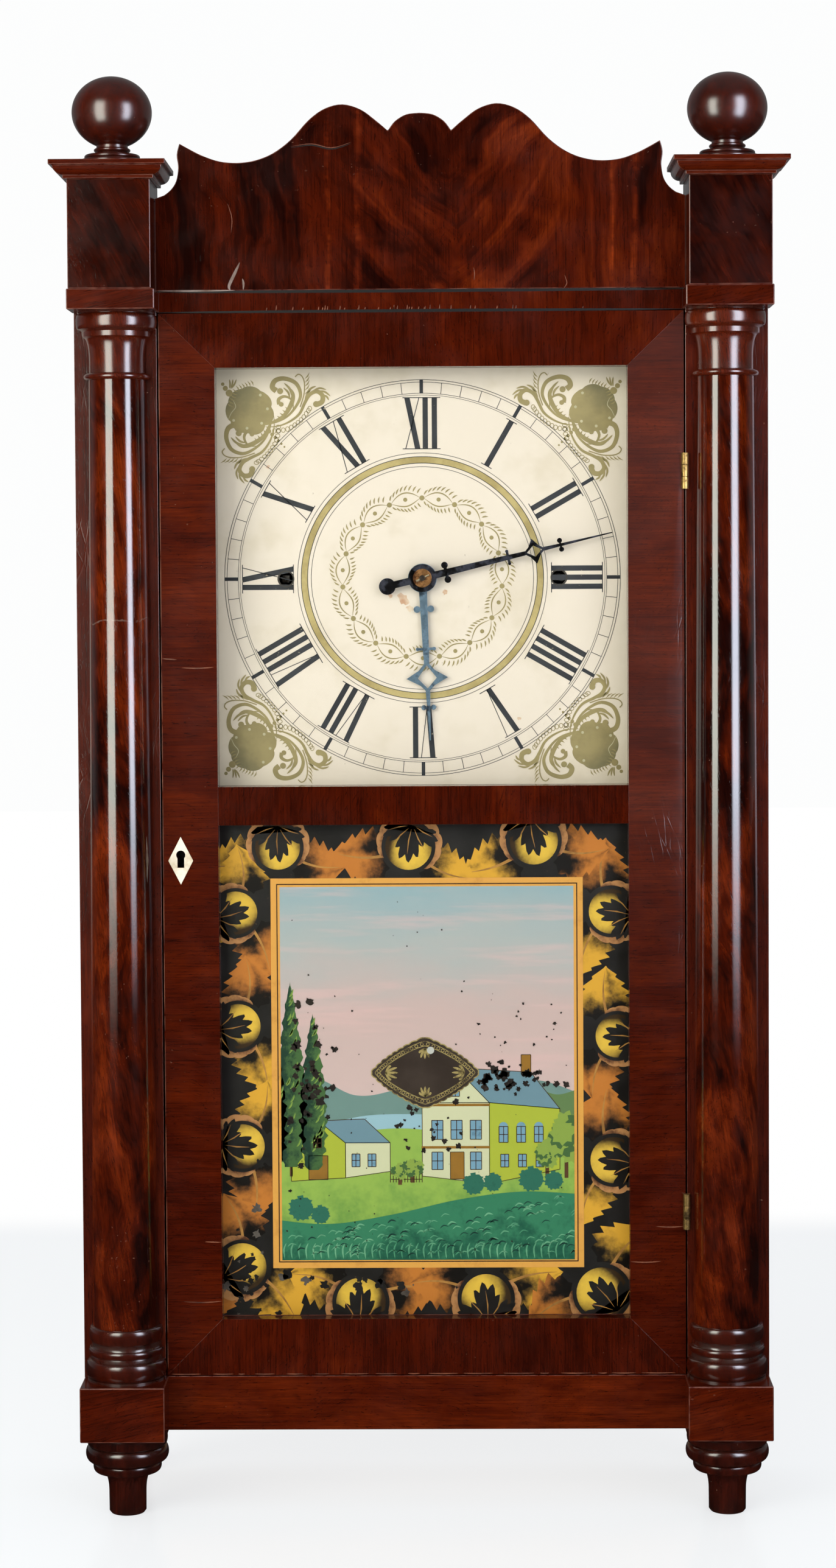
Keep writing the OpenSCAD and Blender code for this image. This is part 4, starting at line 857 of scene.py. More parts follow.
class CLOCK_OT_turnings(bpy.types.Operator):
    """Turns the finials, columns and feet"""
    bl_idname = "clock.turnings"
    bl_label = "Turned pieces"

    def execute(self, context):
        ball = [(24.5 * math.sin(math.radians(a)), 32.4 + 21.9 * math.cos(math.radians(a)), 0)
                for a in range(157, 0, -3)]
        finial = (bead(19, 19.8, 0, 3.6, 0.5) + bead(15.4, 17, 3.8, 6.6, 0.8) + [(10.6, 7.2, 0.9)]
                  + bead(9.6, 11.2, 8.2, 10.6, 0.3, 8) + ball)
        bm = start()
        for side in (-1, 1):
            turned(bm, (side * 188.1, -40.8, 834.7), finial, steps=96)
        new_piece(bm, "finials_turned", "case",
                  wood_set("mahogany_finials", lift=-0.1, seed=5, polish=0.25, coat=1.0), ["finials"], 40)

        base = ([(24.2, 0, 1), (24.2, 1, 0.6)] + bead(23.4, 25.2, 1.2, 12, 0.4)
                + [(22.4, 12.6, 0.9), (22.2, 14.4, 0.9)] + bead(22, 23.6, 15, 20, 0.6)
                + [(21.6, 20.6, 0.9), (21.4, 23, 0.9)] + bead(21.6, 23.3, 23.4, 33, 0.5))
        capital = (bead(17.6, 20.5, 0, 4.2, 0.4) + [(17, 4.4, 0.6), (17, 12, 0)] + flare(17, 20.2, 12, 26)
                   + [(21, 26.5, 0.2), (21, 29.5, 0.2), (22.4, 30.5, 0.7)] + bead(23.6, 25, 31, 40.5, 0.4)
                   + [(24.2, 41.5, 0.7)])
        shaft = [(20.75 + (17.4 - 20.75) * i / 12, 586 * i / 12, 0) for i in range(13)]
        for part, height, outline, look in (
                ("column_bases", 85, base, {"lift": -0.14, "polish": 0.19}),
                ("column_shafts", 118, shaft, {"figure": 1.3, "lift": -0.04, "crack": 0.555}),
                ("column_capitals", 704, capital, {"lift": 0.06, "polish": 0.19})):
            bm = start()
            for side in (-1, 1):
                turned(bm, (side * COLUMN_X, COLUMN_Y, height), outline, True, 112)
            new_piece(bm, part + "_turned", "case",
                      wood_set(part + "_wood", turn=9, seed=7, coat=1.0, **look), [part], 40)

        foot = ([(10.4, 0, 0.5), (11.5, 1.4, 0.2), (11.6, 13, 0)] + flare(11.6, 15.4, 13.5, 26)
                + bead(19.4, 21.3, 26.4, 33, 0.7) + bead(23, 25.85, 33.2, 43, 0.6)
                + bead(24, 25.2, 43.2, 51, 0.5))
        rear = [(10.5, 0, 0), (11.5, 1, 0), (15, 43, 0), (16, 45, 0), (16, 51, 0)]
        bm = start()
        for side in (-1, 1):
            turned(bm, (side * COLUMN_X, COLUMN_Y, 0), foot, steps=80)
            turned(bm, (side * 193.3, 58, 0), rear, steps=48)
        new_piece(bm, "feet_turned", "case",
                  wood_set("mahogany_feet", lift=-0.22, seed=2, polish=0.2, coat=1.0), ["feet"], 40)
        return {"FINISHED"}


def broken_seam(low, high, reaches, gaps):
    """Spans of random length and gap from low to high, each as its two ends and its middle"""
    spans = []
    while low < high:
        reach = random.uniform(*reaches)
        spans.append((low, low + reach / 2, min(low + reach, high + 5)))
        low += reach + random.uniform(*gaps)
    return spans


class CLOCK_OT_door(bpy.types.Operator):
    """Makes the door's frame, glass and fittings"""
    bl_idname = "clock.door"
    bl_label = "Door"

    def execute(self, context):
        # The door stiles get a painted grey sheen on their upper part and painted shade below it
        rubbed("door_hinge_stile", "door_hinge_stile_veneered", "door", 0.45,
               wood_set("mahogany_hinge_stile", "X", figure=0.36, lift=0.05, craze=0.25, seed=9, polish=0.07,
                        veil=0.13))
        rubbed("door_lock_stile", "door_lock_stile_veneered", "door", 0.45,
               wood_set("mahogany_lock_stile", "X", figure=0.36, lift=0.04, craze=0.15, seed=4, polish=0.06,
                        veil=0.04))
        rubbed("door_rails", "door_rails_veneered", "door", 0.45,
               wood_set("mahogany_door_rails", lift=-0.07, seed=6))
        rubbed("glass_strips", "glass_strips_cut", "door", 0.3,
               wood_set("mahogany_strips", figure=0.3))
        self.wear()
        brass = metal("brass_aged", (186, 152, 92), (92, 72, 46), 0.36, 0.5)
        rubbed("hinge_case_leaves", "hinge_case_leaves_worn", "case", 0.15, [brass, brass])
        rubbed("hinge_door_leaves", "hinge_door_leaves_worn", "door", 0.15, [brass, brass])
        bone = paint("bone_polished", linear(232, 224, 206), linear(196, 180, 150), 0.3, 90)
        rubbed("keyhole_escutcheon", "escutcheon_bone", "door", 0.12, [bone, bone])
        steel = metal("iron_dark", (92, 88, 84), (46, 40, 36), 0.4, 0.5)
        for node in ("lock_case", "lock_bolt"):
            set_finish(node, steel)
        for node in ("dial_glass", "tablet_glass"):
            set_finish(node, pane_glass("clear_glass_pane"))
        return {"FINISHED"}

    def wear(self):
        """Seams of the veneer, and the door's bottom and left edges"""
        seam = paint("wear_seam", linear(118, 66, 42), linear(60, 28, 18))
        random.seed(6)
        bottom = [[(a, 86.3), (b, 86.1), (c, 86.3)] for a, b, c in broken_seam(-159, 155, (4, 22), (1, 9))]
        left = [[(-161.1, a), (-161.2, b), (-161.1, c)]
                for a, b, c in broken_seam(90, 735, (8, 60), (0.5, 5))]
        wear_and_shadow_lines("door_wear", "door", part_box("door_hinge_stile")[0].y / MM - 0.03,
                   (seam, 0.8, [(-148.7, 527), (-139, 526.6), (-129, 527.2)], [(-161, 532.7), (-151.7, 532)],
                    [(-151, 131.8), (-139, 131.3), (-127.4, 132)], [(-137.5, 169.4), (-127.4, 169)],
                    [(127.4, 156), (137, 155.6), (146, 156.2)], [(143, 178), (152, 177.6), (160, 178)]),
                   (seam, 0.7, *bottom), (seam, 0.5, *left))


@once
def pane_glass(name):
    """Thin clear glass that lets the lamps through"""
    f = Finish(name)
    clear = f.node("BsdfTransparent", {"Color": (0.938, 0.945, 0.94)}).outputs[0]
    shine = f.node("BsdfGlossy", {"Roughness": 0.02}).outputs[0]
    outside = f.minus(1, f.node("NewGeometry").outputs["Backfacing"])
    facing = f.times(f.times(f.node("Fresnel", {"IOR": 1.5}).outputs[0], outside), 0.5)
    blend = f.node("MixShader", {0: facing, 1: clear, 2: shine})
    f.tree.links.new(blend.outputs[0], f.out.inputs[0])
    f.tree.nodes.remove(f.shader)
    return f.material


DIAL = (0, 581.5)
DIAL_FACE = -10.02


def dial_ground(dial):
    """Cream paint, warmer towards its rim and its left edge, with clouds and specks"""
    f = Finish("dial_ground", Specular_IOR_Level=0.3)
    base = f.place()
    from_centre = f.node("VectorMath", {0: f.place(shift=(0, 0, -DIAL[1] * MM), stretch=(1, 0, 1))},
                         operation="LENGTH").outputs["Value"]
    wander = f.times(f.minus(f.noise(base, 9, 3, 0.6), 0.5), 0.05)
    edge = f.span(f.sum(from_centre, wander), 0.098, 0.182)
    side = f.span(f.part(axis="X"), -0.08, -0.127, 0, 0.35)
    stain = f.mix(f.sum(edge, side, "MAXIMUM"), dial.ground, linear(242, 228, 204))
    cloud = f.noise(base, 22, 5, 0.62)
    stain = f.mix(f.span(cloud, 0.45, 0.75, 0, 0.35), stain, linear(196, 178, 140))
    spots = f.span(f.noise(base, 330, 3, 0.6), 0.74, 0.78)
    stain = f.mix(f.times(spots, 0.5), stain, linear(120, 96, 66))
    relief = f.bump(f.noise(base, 160, 3, 0.6), 0.00008, 0.4)
    return f.set(Base_Color=stain, Roughness=f.span(cloud, 0.3, 0.7, 0.32, 0.5), Normal=relief).material


def gilt_paint(name, dial, corner=False):
    """Khaki gold paint; in the corners it runs to a grey"""
    f = Finish(name, Specular_IOR_Level=0.3)
    base = f.place()
    cloud = f.noise(base, 70, 4, 0.65)
    stain = f.mix(f.span(cloud, 0.35, 0.7, 0, 0.45), dial.gilt, [c * 0.62 for c in dial.gilt])
    if corner:
        across = f.size(f.part(axis="X"))
        up = f.size(f.minus(f.part(axis="Z"), DIAL[1] * MM))
        near = f.span(f.sum(f.sum(across, up), f.times(f.minus(cloud, 0.5), 0.02)), 0.208, 0.237)
        stain = f.mix(f.times(near, 0.7), stain, linear(112, 108, 80))
    return f.set(Base_Color=stain, Roughness=0.45).material


def numerals(sheet, ink):
    """Roman numerals with their feet to the centre"""
    wide = {"I": 5.7, "V": 9.6, "X": 10.4}
    low, high = 80.6, 112.4
    for hour, text in enumerate("XII I II III IIII V VI VII VIII IX X XI".split()):
        turn = math.radians(hour * 30)
        out, right = Vector((math.sin(turn), math.cos(turn))), Vector((math.cos(turn), -math.sin(turn)))

        def at(u, v):
            return tuple(Vector(DIAL) + out * v + right * u)

        def stroke(u0, u1, thick):
            t = thick / 2
            sheet.blob([at(u0 - t, low), at(u0 + t, low), at(u1 + t, high), at(u1 - t, high)], ink, 4)
        total = sum(wide[c] for c in text)
        start_at = -total / 2
        for c in text:
            middle = start_at + wide[c] / 2
            if c == "I":
                stroke(middle, middle, 3.3)
            elif c == "V":
                stroke(middle - 0.6, middle - 3.1, 3.3)
                stroke(middle + 0.4, middle + 4.1, 0.45)
            else:
                stroke(middle + 3.3, middle - 3.3, 3.4)
                stroke(middle - 4.2, middle + 4.2, 0.5)
            start_at += wide[c]
        for v in (low, high):
            sheet.ribbon([at(u * (total / 2 + 0.9), v) for u in (-1, -0.5, 0, 0.5, 1)], 0.5, ink, 4)


def wreath(sheet, gilt):
    """Fifteen almonds of two arcs, with a bead in each and at each knot, and feather strokes round them"""
    for k in range(15):
        sheet.dot(polar(DIAL, 50, 24 * k), 1.6, gilt, 6)
        sheet.dot(polar(DIAL, 50, 24 * k + 12), 1.3, gilt, 6)
        for side in (1, -1):
            sheet.ribbon([polar(DIAL, 50 + side * 4.2 * math.sin(math.pi * t / 12), 24 * k + 1.3 + 1.8 * t)
                          for t in range(13)], 0.8, gilt, 4, 1)
            for j in range(8):
                t = 0.06 + 0.115 * j
                low = 50 + side * (4.2 * math.sin(math.pi * t) + 1.2)
                reach = side * (3.3 if side > 0 else 2.8)
                sheet.ribbon([polar(DIAL, low + reach * part, 24 * (k + t) + lean)
                              for part, lean in ((0, 0), (0.3, 0.5), (0.65, 1.3), (1, 2.6))], 1.0, gilt, 5, 1)


# Each stroke of a spray: its width, taper and rank, then its points from the corner
SPRAY = ((3.6, -2, 0, (27.3, 33.9), (36.2, 31.9), (43.1, 28.2), (48.6, 21.8), (51.3, 14.9), (48.6, 7.9),
          (41.6, 4.8), (35.7, 5.9), (33.7, 9.9), (36.2, 12.4)),
         (2.8, 1, 1, (30, 33.2), (40, 28.6), (45.3, 21), (46.6, 14.5), (43.6, 10)),
         (2.6, -2, 2, (46.5, 25.5), (46.3, 18.8), (41.6, 15.9), (37.7, 17.6), (37.9, 20.8)),
         (3.4, -2, 3, (28, 34.6), (36.2, 34.5), (44.1, 31.7), (50.5, 26.8), (54, 19.8), (57, 14.9),
          (61.4, 12.9), (64.9, 15.4), (64.7, 19.3), (61.4, 21)),
         (0.7, 0, 4, (51, 22.5), (53.4, 14.9), (53.8, 7.9), (52.4, 3.6), (50, 2.2), (48, 3.8)),
         (1.4, 1, 5, (41.1, 7.6), (44.6, 11.2), (45.8, 15.6)),
         (1.3, 1, 6, (40.6, 10.4), (43.6, 13.4), (44.6, 17)),
         (1.2, 1, 7, (55.6, 13.8), (58, 10.9), (61, 9.7)),
         (1.2, 1, 7, (59.6, 12), (63.4, 10.9), (67.4, 11.9)),
         (1.2, 1, 7, (62.4, 12.6), (66.4, 13.2), (69.9, 15.9)),
         (1.2, 1, 7, (64.9, 15), (67.6, 16.2), (68.9, 18.5)),
         (1.1, 1, 7, (54, 18), (55.4, 14.6), (57.6, 12)))
BUDS = ((38.6, 12.6, 1.9), (39.2, 20.8, 1.5), (61, 20.8, 1.9))


def spandrels(sheet, gilt, shell, light):
    """A shell with a scrolled spray of leaves on each side, in every corner"""
    for sx in (-1, 1):
        for sz in (-1, 1):
            def at(a, b):
                return sx * (126.6 - a), DIAL[1] + sz * (129.6 - b)
            edge = []
            for i in range(90):
                angle = 2 * math.pi * i / 90
                lobe = abs(math.sin(angle * 3.5 + 0.4)) ** 0.5
                reach = 13.4 + 3.0 * lobe * (0.4 + 0.6 * max(0, math.cos(angle - 0.8)))
                edge.append(at(19 + reach * math.cos(angle), 24 + reach * math.sin(angle)))
            sheet.blob(edge, shell, 3)
            for i in range(5):
                angle = -0.9 + i * 0.86
                sheet.dot(at(19 + 11.6 * math.cos(angle), 24 + 11.6 * math.sin(angle)), 0.9, light, 4, 10)
            sheet.curve([at(8.5, 17), at(10.8, 22), at(8, 26), at(5.8, 31)], 4, 0.5, light, 4, 1)
            for a, b, r in ((6.8, 13.6, 2.2), (4.4, 10.6, 1.6), (2.8, 8, 1.1)):
                sheet.dot(at(a, b), r, gilt, 5)
            for i in range(3):
                sheet.curve([at(7 + 0.6 * i, 10.8), at(7.4 + 1.4 * i, 8), at(7 + 2.2 * i, 5)], 3, 1.1, gilt,
                            5, 1)
            for i in range(6):
                sheet.dot(at(31.5 + 1.9 * i, 37.5 + 1.95 * i), 1.35 - 0.15 * i, gilt, 4)
            for flip in (False, True):
                def side(a, b):
                    return at(b, a) if flip else at(a, b)
                for width, taper, rank, *points in SPRAY:
                    path = [side(*p) for p in spline(points, 5)]
                    sheet.ribbon(path, width, gilt, 5 + rank + 0.4 * flip, taper)
                for a, b, r in BUDS:
                    sheet.dot(side(a, b), r, gilt, 13)
                for i in range(6):
                    sheet.ribbon([side(44.2 - 1.7 * i, 23.6 + 1.7 * i), side(42.8 - 1.7 * i, 23.4 + 1.8 * i),
                                  side(41.6 - 1.7 * i, 22.4 + 1.9 * i)], 0.9, gilt, 4, 1)
                    sheet.ribbon([side(13 + 1.8 * i, 12.6 - 0.7 * i), side(12.4 + 1.8 * i, 10.6 - 0.7 * i),
                                  side(11 + 1.8 * i, 9 - 0.7 * i)], 0.9, gilt, 4, 1)
                for i in range(5):
                    sheet.ribbon([side(54, 14.6 - 2.4 * i), side(55.8, 13 - 2.4 * i),
                                  side(57, 10.6 - 2.4 * i)], 0.9, gilt, 4, 1)
                chain = spline([(33, 37.4), (43, 36.2), (51.5, 30.6), (57, 23.5)], 4)
                for a, b in chain[1:]:
                    sheet.ribbon([side(a + 1.2 * math.cos(t * 0.7), b + 1.5 * math.sin(t * 0.7))
                                  for t in range(10)], 0.45, gilt, 4)


COLLET_REACH, COLLET_BACK = 6.2, -16.4


class CLOCK_OT_dial(bpy.types.Operator):
    """Paints the dial and finishes the hands"""
    bl_idname = "clock.dial"
    bl_label = "Dial and hands"

    def execute(self, context):
        dial = settings("clock_dial")
        random.seed(4)
        set_finish("dial_board", dial_ground(dial))
        ink = flecked("dial_ink", dial.ink, linear(176, 160, 132), 0.55)
        gilt, shell = gilt_paint("dial_gilt", dial), gilt_paint("dial_gilt_corner", dial, True)
        light = paint("dial_highlight", linear(206, 196, 158))
        sheet = Painting(DIAL_FACE)
        for inner, outer in ((123.4, 123.75), (121.9, 122.2), (115, 115.3), (113.9, 114.15), (77.9, 78.2),
                             (69.3, 69.6)):
            sheet.ring(DIAL, inner, outer, ink, 4)
        sheet.ring(DIAL, 71.8, 75.6, paint("dial_band", linear(196, 176, 116), linear(168, 148, 92)), 3)
        sheet.ring(DIAL, 75.5, 75.9, ink, 4)
        sheet.ring(DIAL, 71.5, 71.9, ink, 4)
        for minute in range(60):
            reach, thick = (122, 0.36) if minute % 5 else (123.4, 2.2)
            sheet.ribbon([polar(DIAL, r, 6 * minute) for r in (115, 118, reach)], thick, ink, 5)
        numerals(sheet, ink)
        wreath(sheet, gilt)
        spandrels(sheet, gilt, shell, light)
        sheet.hang("dial_painting", "case")

        chips = Painting(DIAL_FACE)
        bare = paint("dial_chip", linear(236, 214, 186), linear(196, 140, 100))
        for x, z, r in ((-12, -13, 4), (-8, -19, 2.2), (14, -9, 1.8), (-20, -11, 1.6), (60, -88, 1.2),
                        (-96, 70, 1.4)):
            chips.chip((DIAL[0] + x, DIAL[1] + z), r, 0.55, 1.2, bare, 2, 18)
        for side in (-1, 1):
            chips.ring((side * 85.3, DIAL[1]), 4.45, 5.3, paint("dial_rubbed", linear(66, 60, 52)), 6, 40)
        chips.hang("dial_chips", "case")

        brass = metal("brass_collet", (196, 140, 88), (92, 56, 34), 0.3, 0.55)
        black = metal("steel_black", (74, 74, 84), (26, 24, 24), 0.42, 0.75)
        blue = metal("steel_blued", (128, 150, 166), (66, 78, 90), 0.38, 0.45)
        dark = metal("steel_dark", (80, 70, 62), (38, 32, 28), 0.4, 0.5)
        for name, node, body, slot, first in (
                ("minute_hand_filed", "minute_hand", "minute_arbor", "black_steel", black),
                ("hour_hand_filed", "hour_hand", "hour_wheel", "blued_steel", blue)):
            bm = start()
            copy_node(bm, node, 0.16)
            for face in bm.faces:
                middle = face.calc_center_median() / MM
                near = math.hypot(middle.x - DIAL[0], middle.z - DIAL[1]) < COLLET_REACH
                face.material_index = int(node == "minute_hand" and near and middle.y < COLLET_BACK)
            new_piece(bm, name, body, [first, brass], [node])
        bm = start()
        turn = Matrix.Rotation(math.radians(63), 4, "Y")
        verts = bmesh.ops.create_cone(bm, cap_ends=True, segments=20, radius1=0.75 * MM, radius2=0.45 * MM,
                                      depth=9 * MM)["verts"]
        soften(bm, {e for v in verts for e in v.link_edges if not e.is_boundary and e.calc_face_angle() > 1},
               0.1 * MM)
        bmesh.ops.transform(bm, matrix=Matrix.Translation(Vector((0.2, -19.25, DIAL[1])) * MM) @ turn,
                            verts=bm.verts)
        pin = metal("brass_pin", (226, 208, 176), (140, 116, 84), 0.3, 0.4)
        new_piece(bm, "collet_pin", "minute_arbor", [pin, pin])
        for node in ("minute_arbor", "hour_wheel"):
            set_finish(node, dark)
        set_finish("dial_screws", paint("screw_painted", linear(112, 102, 72), linear(84, 76, 54)))
        return {"FINISHED"}


TABLET_BACK = -24.3
GLASS = {"low": (-131, 117), "high": (131, 433), "band_low": (-95.7, 150.2), "band_high": (98.8, 395),
         "low_in": (-90, 155.2), "high_in": (93, 389.6)}
# Each fruit of the border: its place, the clock angle of its leaf and its radius
FRUITS = ((-91, 414.5, 180, 14), (-9.5, 414.5, 190, 14.5), (68.5, 418, 170, 15), (-117.5, 373.5, 75, 13.5),
          (-116.5, 302.5, 80, 14), (-114.5, 227, 95, 14), (-115, 151, 60, 15), (116.5, 373.5, -80, 14),
          (120, 295.5, -85, 13.5), (117.5, 217.5, -80, 14.5), (110, 134, -40, 16), (-41, 128.5, 5, 15.5),
          (37.5, 130.5, -5, 15.5))


class CLOCK_OT_tablet(bpy.types.Operator):
    """Paints the back of the lower glass: a border of fruit and leaves round a landscape"""
    bl_idname = "clock.tablet"
    bl_label = "Painted glass"

    def execute(self, context):
        random.seed(11)
        self.border()
        self.landscape()
        self.medallion()
        return {"FINISHED"}

    def border(self):
        tablet = settings("clock_tablet")
        sheet = Painting(TABLET_BACK)
        black = flecked("tablet_black", linear(17, 13, 10), linear(96, 72, 42), 0.2)
        fruit = shaded_paint("tablet_fruit", linear(226, 184, 62), linear(52, 34, 10), 0.12)
        calyx = shaded_paint("tablet_calyx", linear(182, 128, 76), linear(84, 46, 20), 0.4)
        orange = shaded_paint("tablet_leaf_orange", linear(192, 116, 38), linear(14, 9, 5), 0.25)
        yellow = shaded_paint("tablet_leaf_gold", linear(218, 162, 44), linear(14, 9, 5), 0.25)
        rib = paint("tablet_rib", linear(184, 132, 60), linear(140, 96, 40))
        grey = paint("tablet_loss_grey", linear(92, 84, 76), linear(58, 50, 44))
        sheet.panel(GLASS["low"], GLASS["high"], 6, 0, black, 0)
        for k, (x, z, way, r) in enumerate(FRUITS):
            first, second = (orange, yellow) if k % 2 else (yellow, orange)
            sheet.leaf(polar((x, z), r * 0.5, way + 50), polar((x, z), r * 3.3, way + 76), r * 1.35, first,
                       2 + 0.4 * (k % 2), 6, 0.08, 0.34, 1.1, rib)
            sheet.leaf(polar((x, z), r * 0.5, way - 55), polar((x, z), r * 3.2, way - 74), r * 1.25, second,
                       4 + 0.4 * (k % 2), 6, -0.1, 0.34, 1.15, rib)
            sheet.leaf(polar((x, z), r * 0.9, way + 190), polar((x, z), r * 2.5, way + 150), r * 0.8, second,
                       6 + 0.4 * (k % 2), 5, 0.1, 0.34, 1.0)
        for x, z, way, r in FRUITS:
            sheet.disc((x, z), r * 1.22, black, 8, 0, 0)

            def place(u, v):
                angle = way + 55 + 260 * u
                swell = math.sin(math.pi * u) ** 0.5
                lobe = abs(math.sin(math.pi * u * 10)) ** 0.6
                reach = r * (1.16 + v * swell * (0.3 + 0.08 * lobe))
                return (*polar((x, z), reach, angle), 0.35 * (1 - v) + 0.5 * (1 - swell))
            sheet.patch(80, 3, place, calyx, 8.5)
            sheet.disc(polar((x, z), r * 0.06, way + 150), r * 1.04, black, 9, 0, 0)
            sheet.disc((x, z), r, fruit, 10, way + 150, 1.25)
            self.star_leaf(sheet, x, z, way, r, black, rib)
        for i in range(46):
            x, z, r = random.gauss(-112, 12), random.gauss(146, 20), random.uniform(0.5, 3)
            if i % 3 == 0:
                x, z = random.gauss(-40, 30), random.gauss(141, 5)
            sheet.chip((x, z), r, 0.5, 1.4, black if i % 4 else grey, 13)
        sheet.cut(GLASS["low"], GLASS["high"])
        sheet.hang("tablet_border", "door")

        band = Painting(TABLET_BACK)
        tan = shaded_paint("tablet_band", tablet.band, linear(186, 126, 52), 0.4)
        line = paint("tablet_line", linear(58, 32, 16))
        for inset, outset, finish, layer in ((0, 0, tan, 13), (3.6, 3.4, line, 14), (4.3, 4.1, tan, 15)):
            low = [c + inset for c in GLASS["band_low"]]
            high = [c - outset for c in GLASS["band_high"]]
            band.panel(low, high, 40, 0.1, finish, layer)
        band.hang("tablet_frame_line", "door")

    def star_leaf(self, sheet, x, z, way, r, black, rib):
        """A dark toothed leaf over the fruit, with light veins"""
        foot = Vector(polar((x, z), -r * 0.95, way))
        outline = []
        for i in range(45):
            angle = -88 + 4 * i
            lobe = 0.62 + 0.38 * abs(math.cos(math.radians(angle * 2.6)))
            tooth = (0.0, 0.1, 0.03, -0.12)[i % 4]
            reach = r * (0.78 + 0.72 * math.cos(math.radians(angle * 0.8))) * (lobe + tooth)
            outline.append(tuple(Vector(polar(foot, reach, way + angle))))
        outline.append(tuple(foot))
        sheet.blob(outline, black, 11)
        for angle in (-69, -36, 0, 36, 69):
            reach = r * (0.78 + 0.72 * math.cos(math.radians(angle * 0.8))) * 0.85
            sheet.ribbon([polar(foot, r * 0.2, way + angle), polar(foot, reach * 0.55, way + angle + 3),
                          polar(foot, reach, way + angle)], 0.8, rib, 12, 1)

    def landscape(self):
        tablet = settings("clock_tablet")
        low, high = GLASS["low_in"], GLASS["high_in"]
        sheet = Painting(TABLET_BACK)
        sky = Finish("tablet_sky", Specular_IOR_Level=0.3)
        up = sky.sum(sky.part(axis="Z"), sky.times(sky.noise(sky.place((3, 1, 9)), 4, 4, 0.6), 0.05))
        stain = sky.ramp(sky.span(up, 0.27, 0.415, smooth=False), (0, tablet.dusk),
                         (0.45, [c * 0.92 for c in tablet.dusk]), (0.75, linear(172, 177, 174)),
                         (1, tablet.sky))
        streak = sky.noise(sky.place((6, 1, 60)), 1.2, 4, 0.6)
        stain = sky.mix(sky.span(streak, 0.5, 0.7, 0, 0.5), stain, linear(221, 181, 176))
        sky.set(Base_Color=stain, Roughness=0.5)
        sheet.panel(low, high, 4, 0, sky.material, 16)
        hill = shaded_paint("tablet_hill", linear(110, 140, 132), linear(70, 106, 104), 0.3, 40)
        near_hill = shaded_paint("tablet_near_hill", linear(96, 124, 74), linear(52, 84, 56), 0.4, 60)
        water = shaded_paint("tablet_lake", linear(150, 186, 196), linear(112, 152, 166), 0.4, 60)
        lawn = shaded_paint("tablet_lawn", tablet.lawn, linear(92, 140, 60), 0.35, 40)
        teal = shaded_paint("tablet_water", tablet.water, linear(18, 84, 62), 0.5, 60)

        def under(ridge, finish, layer):
            """Fills below a skyline"""
            bottom = 150
            path = spline(ridge, 8)
            n = len(path) - 1

            def place(u, v):
                x, top = path[round(u * n)]
                return x, bottom + (top - bottom) * v, 0.7 * (1 - v)
            sheet.patch(n, 3, place, finish, layer, False)
        under([(-96, 262), (-70, 270), (-44, 259), (-20, 262), (10, 274), (40, 263), (70, 268), (100, 258)],
              hill, 17)
        under([(-96, 250), (-60, 243), (-20, 247), (100, 244)], water, 18)
        under([(20, 240), (44, 250), (66, 262), (84, 259), (104, 266)], near_hill, 18)
        under([(-96, 226), (-60, 233), (-20, 238), (20, 236), (60, 240), (100, 236)], lawn, 19)
        self.buildings(sheet)
        self.trees(sheet)
        under([(-96, 181), (-60, 178), (-20, 184), (20, 193), (60, 198), (100, 196)], teal, 24)
        comb = paint("tablet_comb", linear(110, 170, 130), linear(66, 136, 100))
        dark = paint("tablet_comb_dark", linear(12, 56, 46))
        for i in range(260):
            x, z = random.uniform(-90, 92), random.uniform(157, 194)
            if z > 182 + 0.14 * x:
                continue
            sheet.curve([(x, z), (x + 2.4, z + 2.0), (x + 5.5, z + 1.2)], 3, random.uniform(0.5, 1.1),
                        comb if i % 3 else dark, 25, 1)
        for i in range(40):
            x = -92 + 4.6 * i
            sheet.curve([(x, 166), (x - 1.6, 162), (x - 1, 156)], 3, 1.0, comb, 25, 1)
        sheet.cut(low, high)
        sheet.hang("tablet_landscape", "door")

    def buildings(self, sheet):
        cream = shaded_paint("tablet_cream", linear(206, 206, 166), linear(180, 186, 128), 0.3)
        lime = shaded_paint("tablet_lime", linear(170, 180, 52), linear(132, 146, 34), 0.3)
        ochre = paint("tablet_ochre", linear(150, 106, 30))
        slate = shaded_paint("tablet_slate", linear(108, 140, 152), linear(72, 104, 120), 0.3)
        pane = shaded_paint("tablet_pane", linear(116, 156, 176), linear(52, 88, 112), 0.5)
        line = paint("tablet_outline", linear(66, 46, 20))

        def quad(points, finish, layer, edge=True):
            sheet.blob(points, finish, layer)
            if edge:
                for a, b in zip(points, [*points[1:], points[0]]):
                    sheet.line(a, b, 0.45, line, layer + 1)

        def block(x, z, w, h, finish, layer=21):
            quad([(x, z), (x + w, z), (x + w, z + h), (x, z + h)], finish, layer)

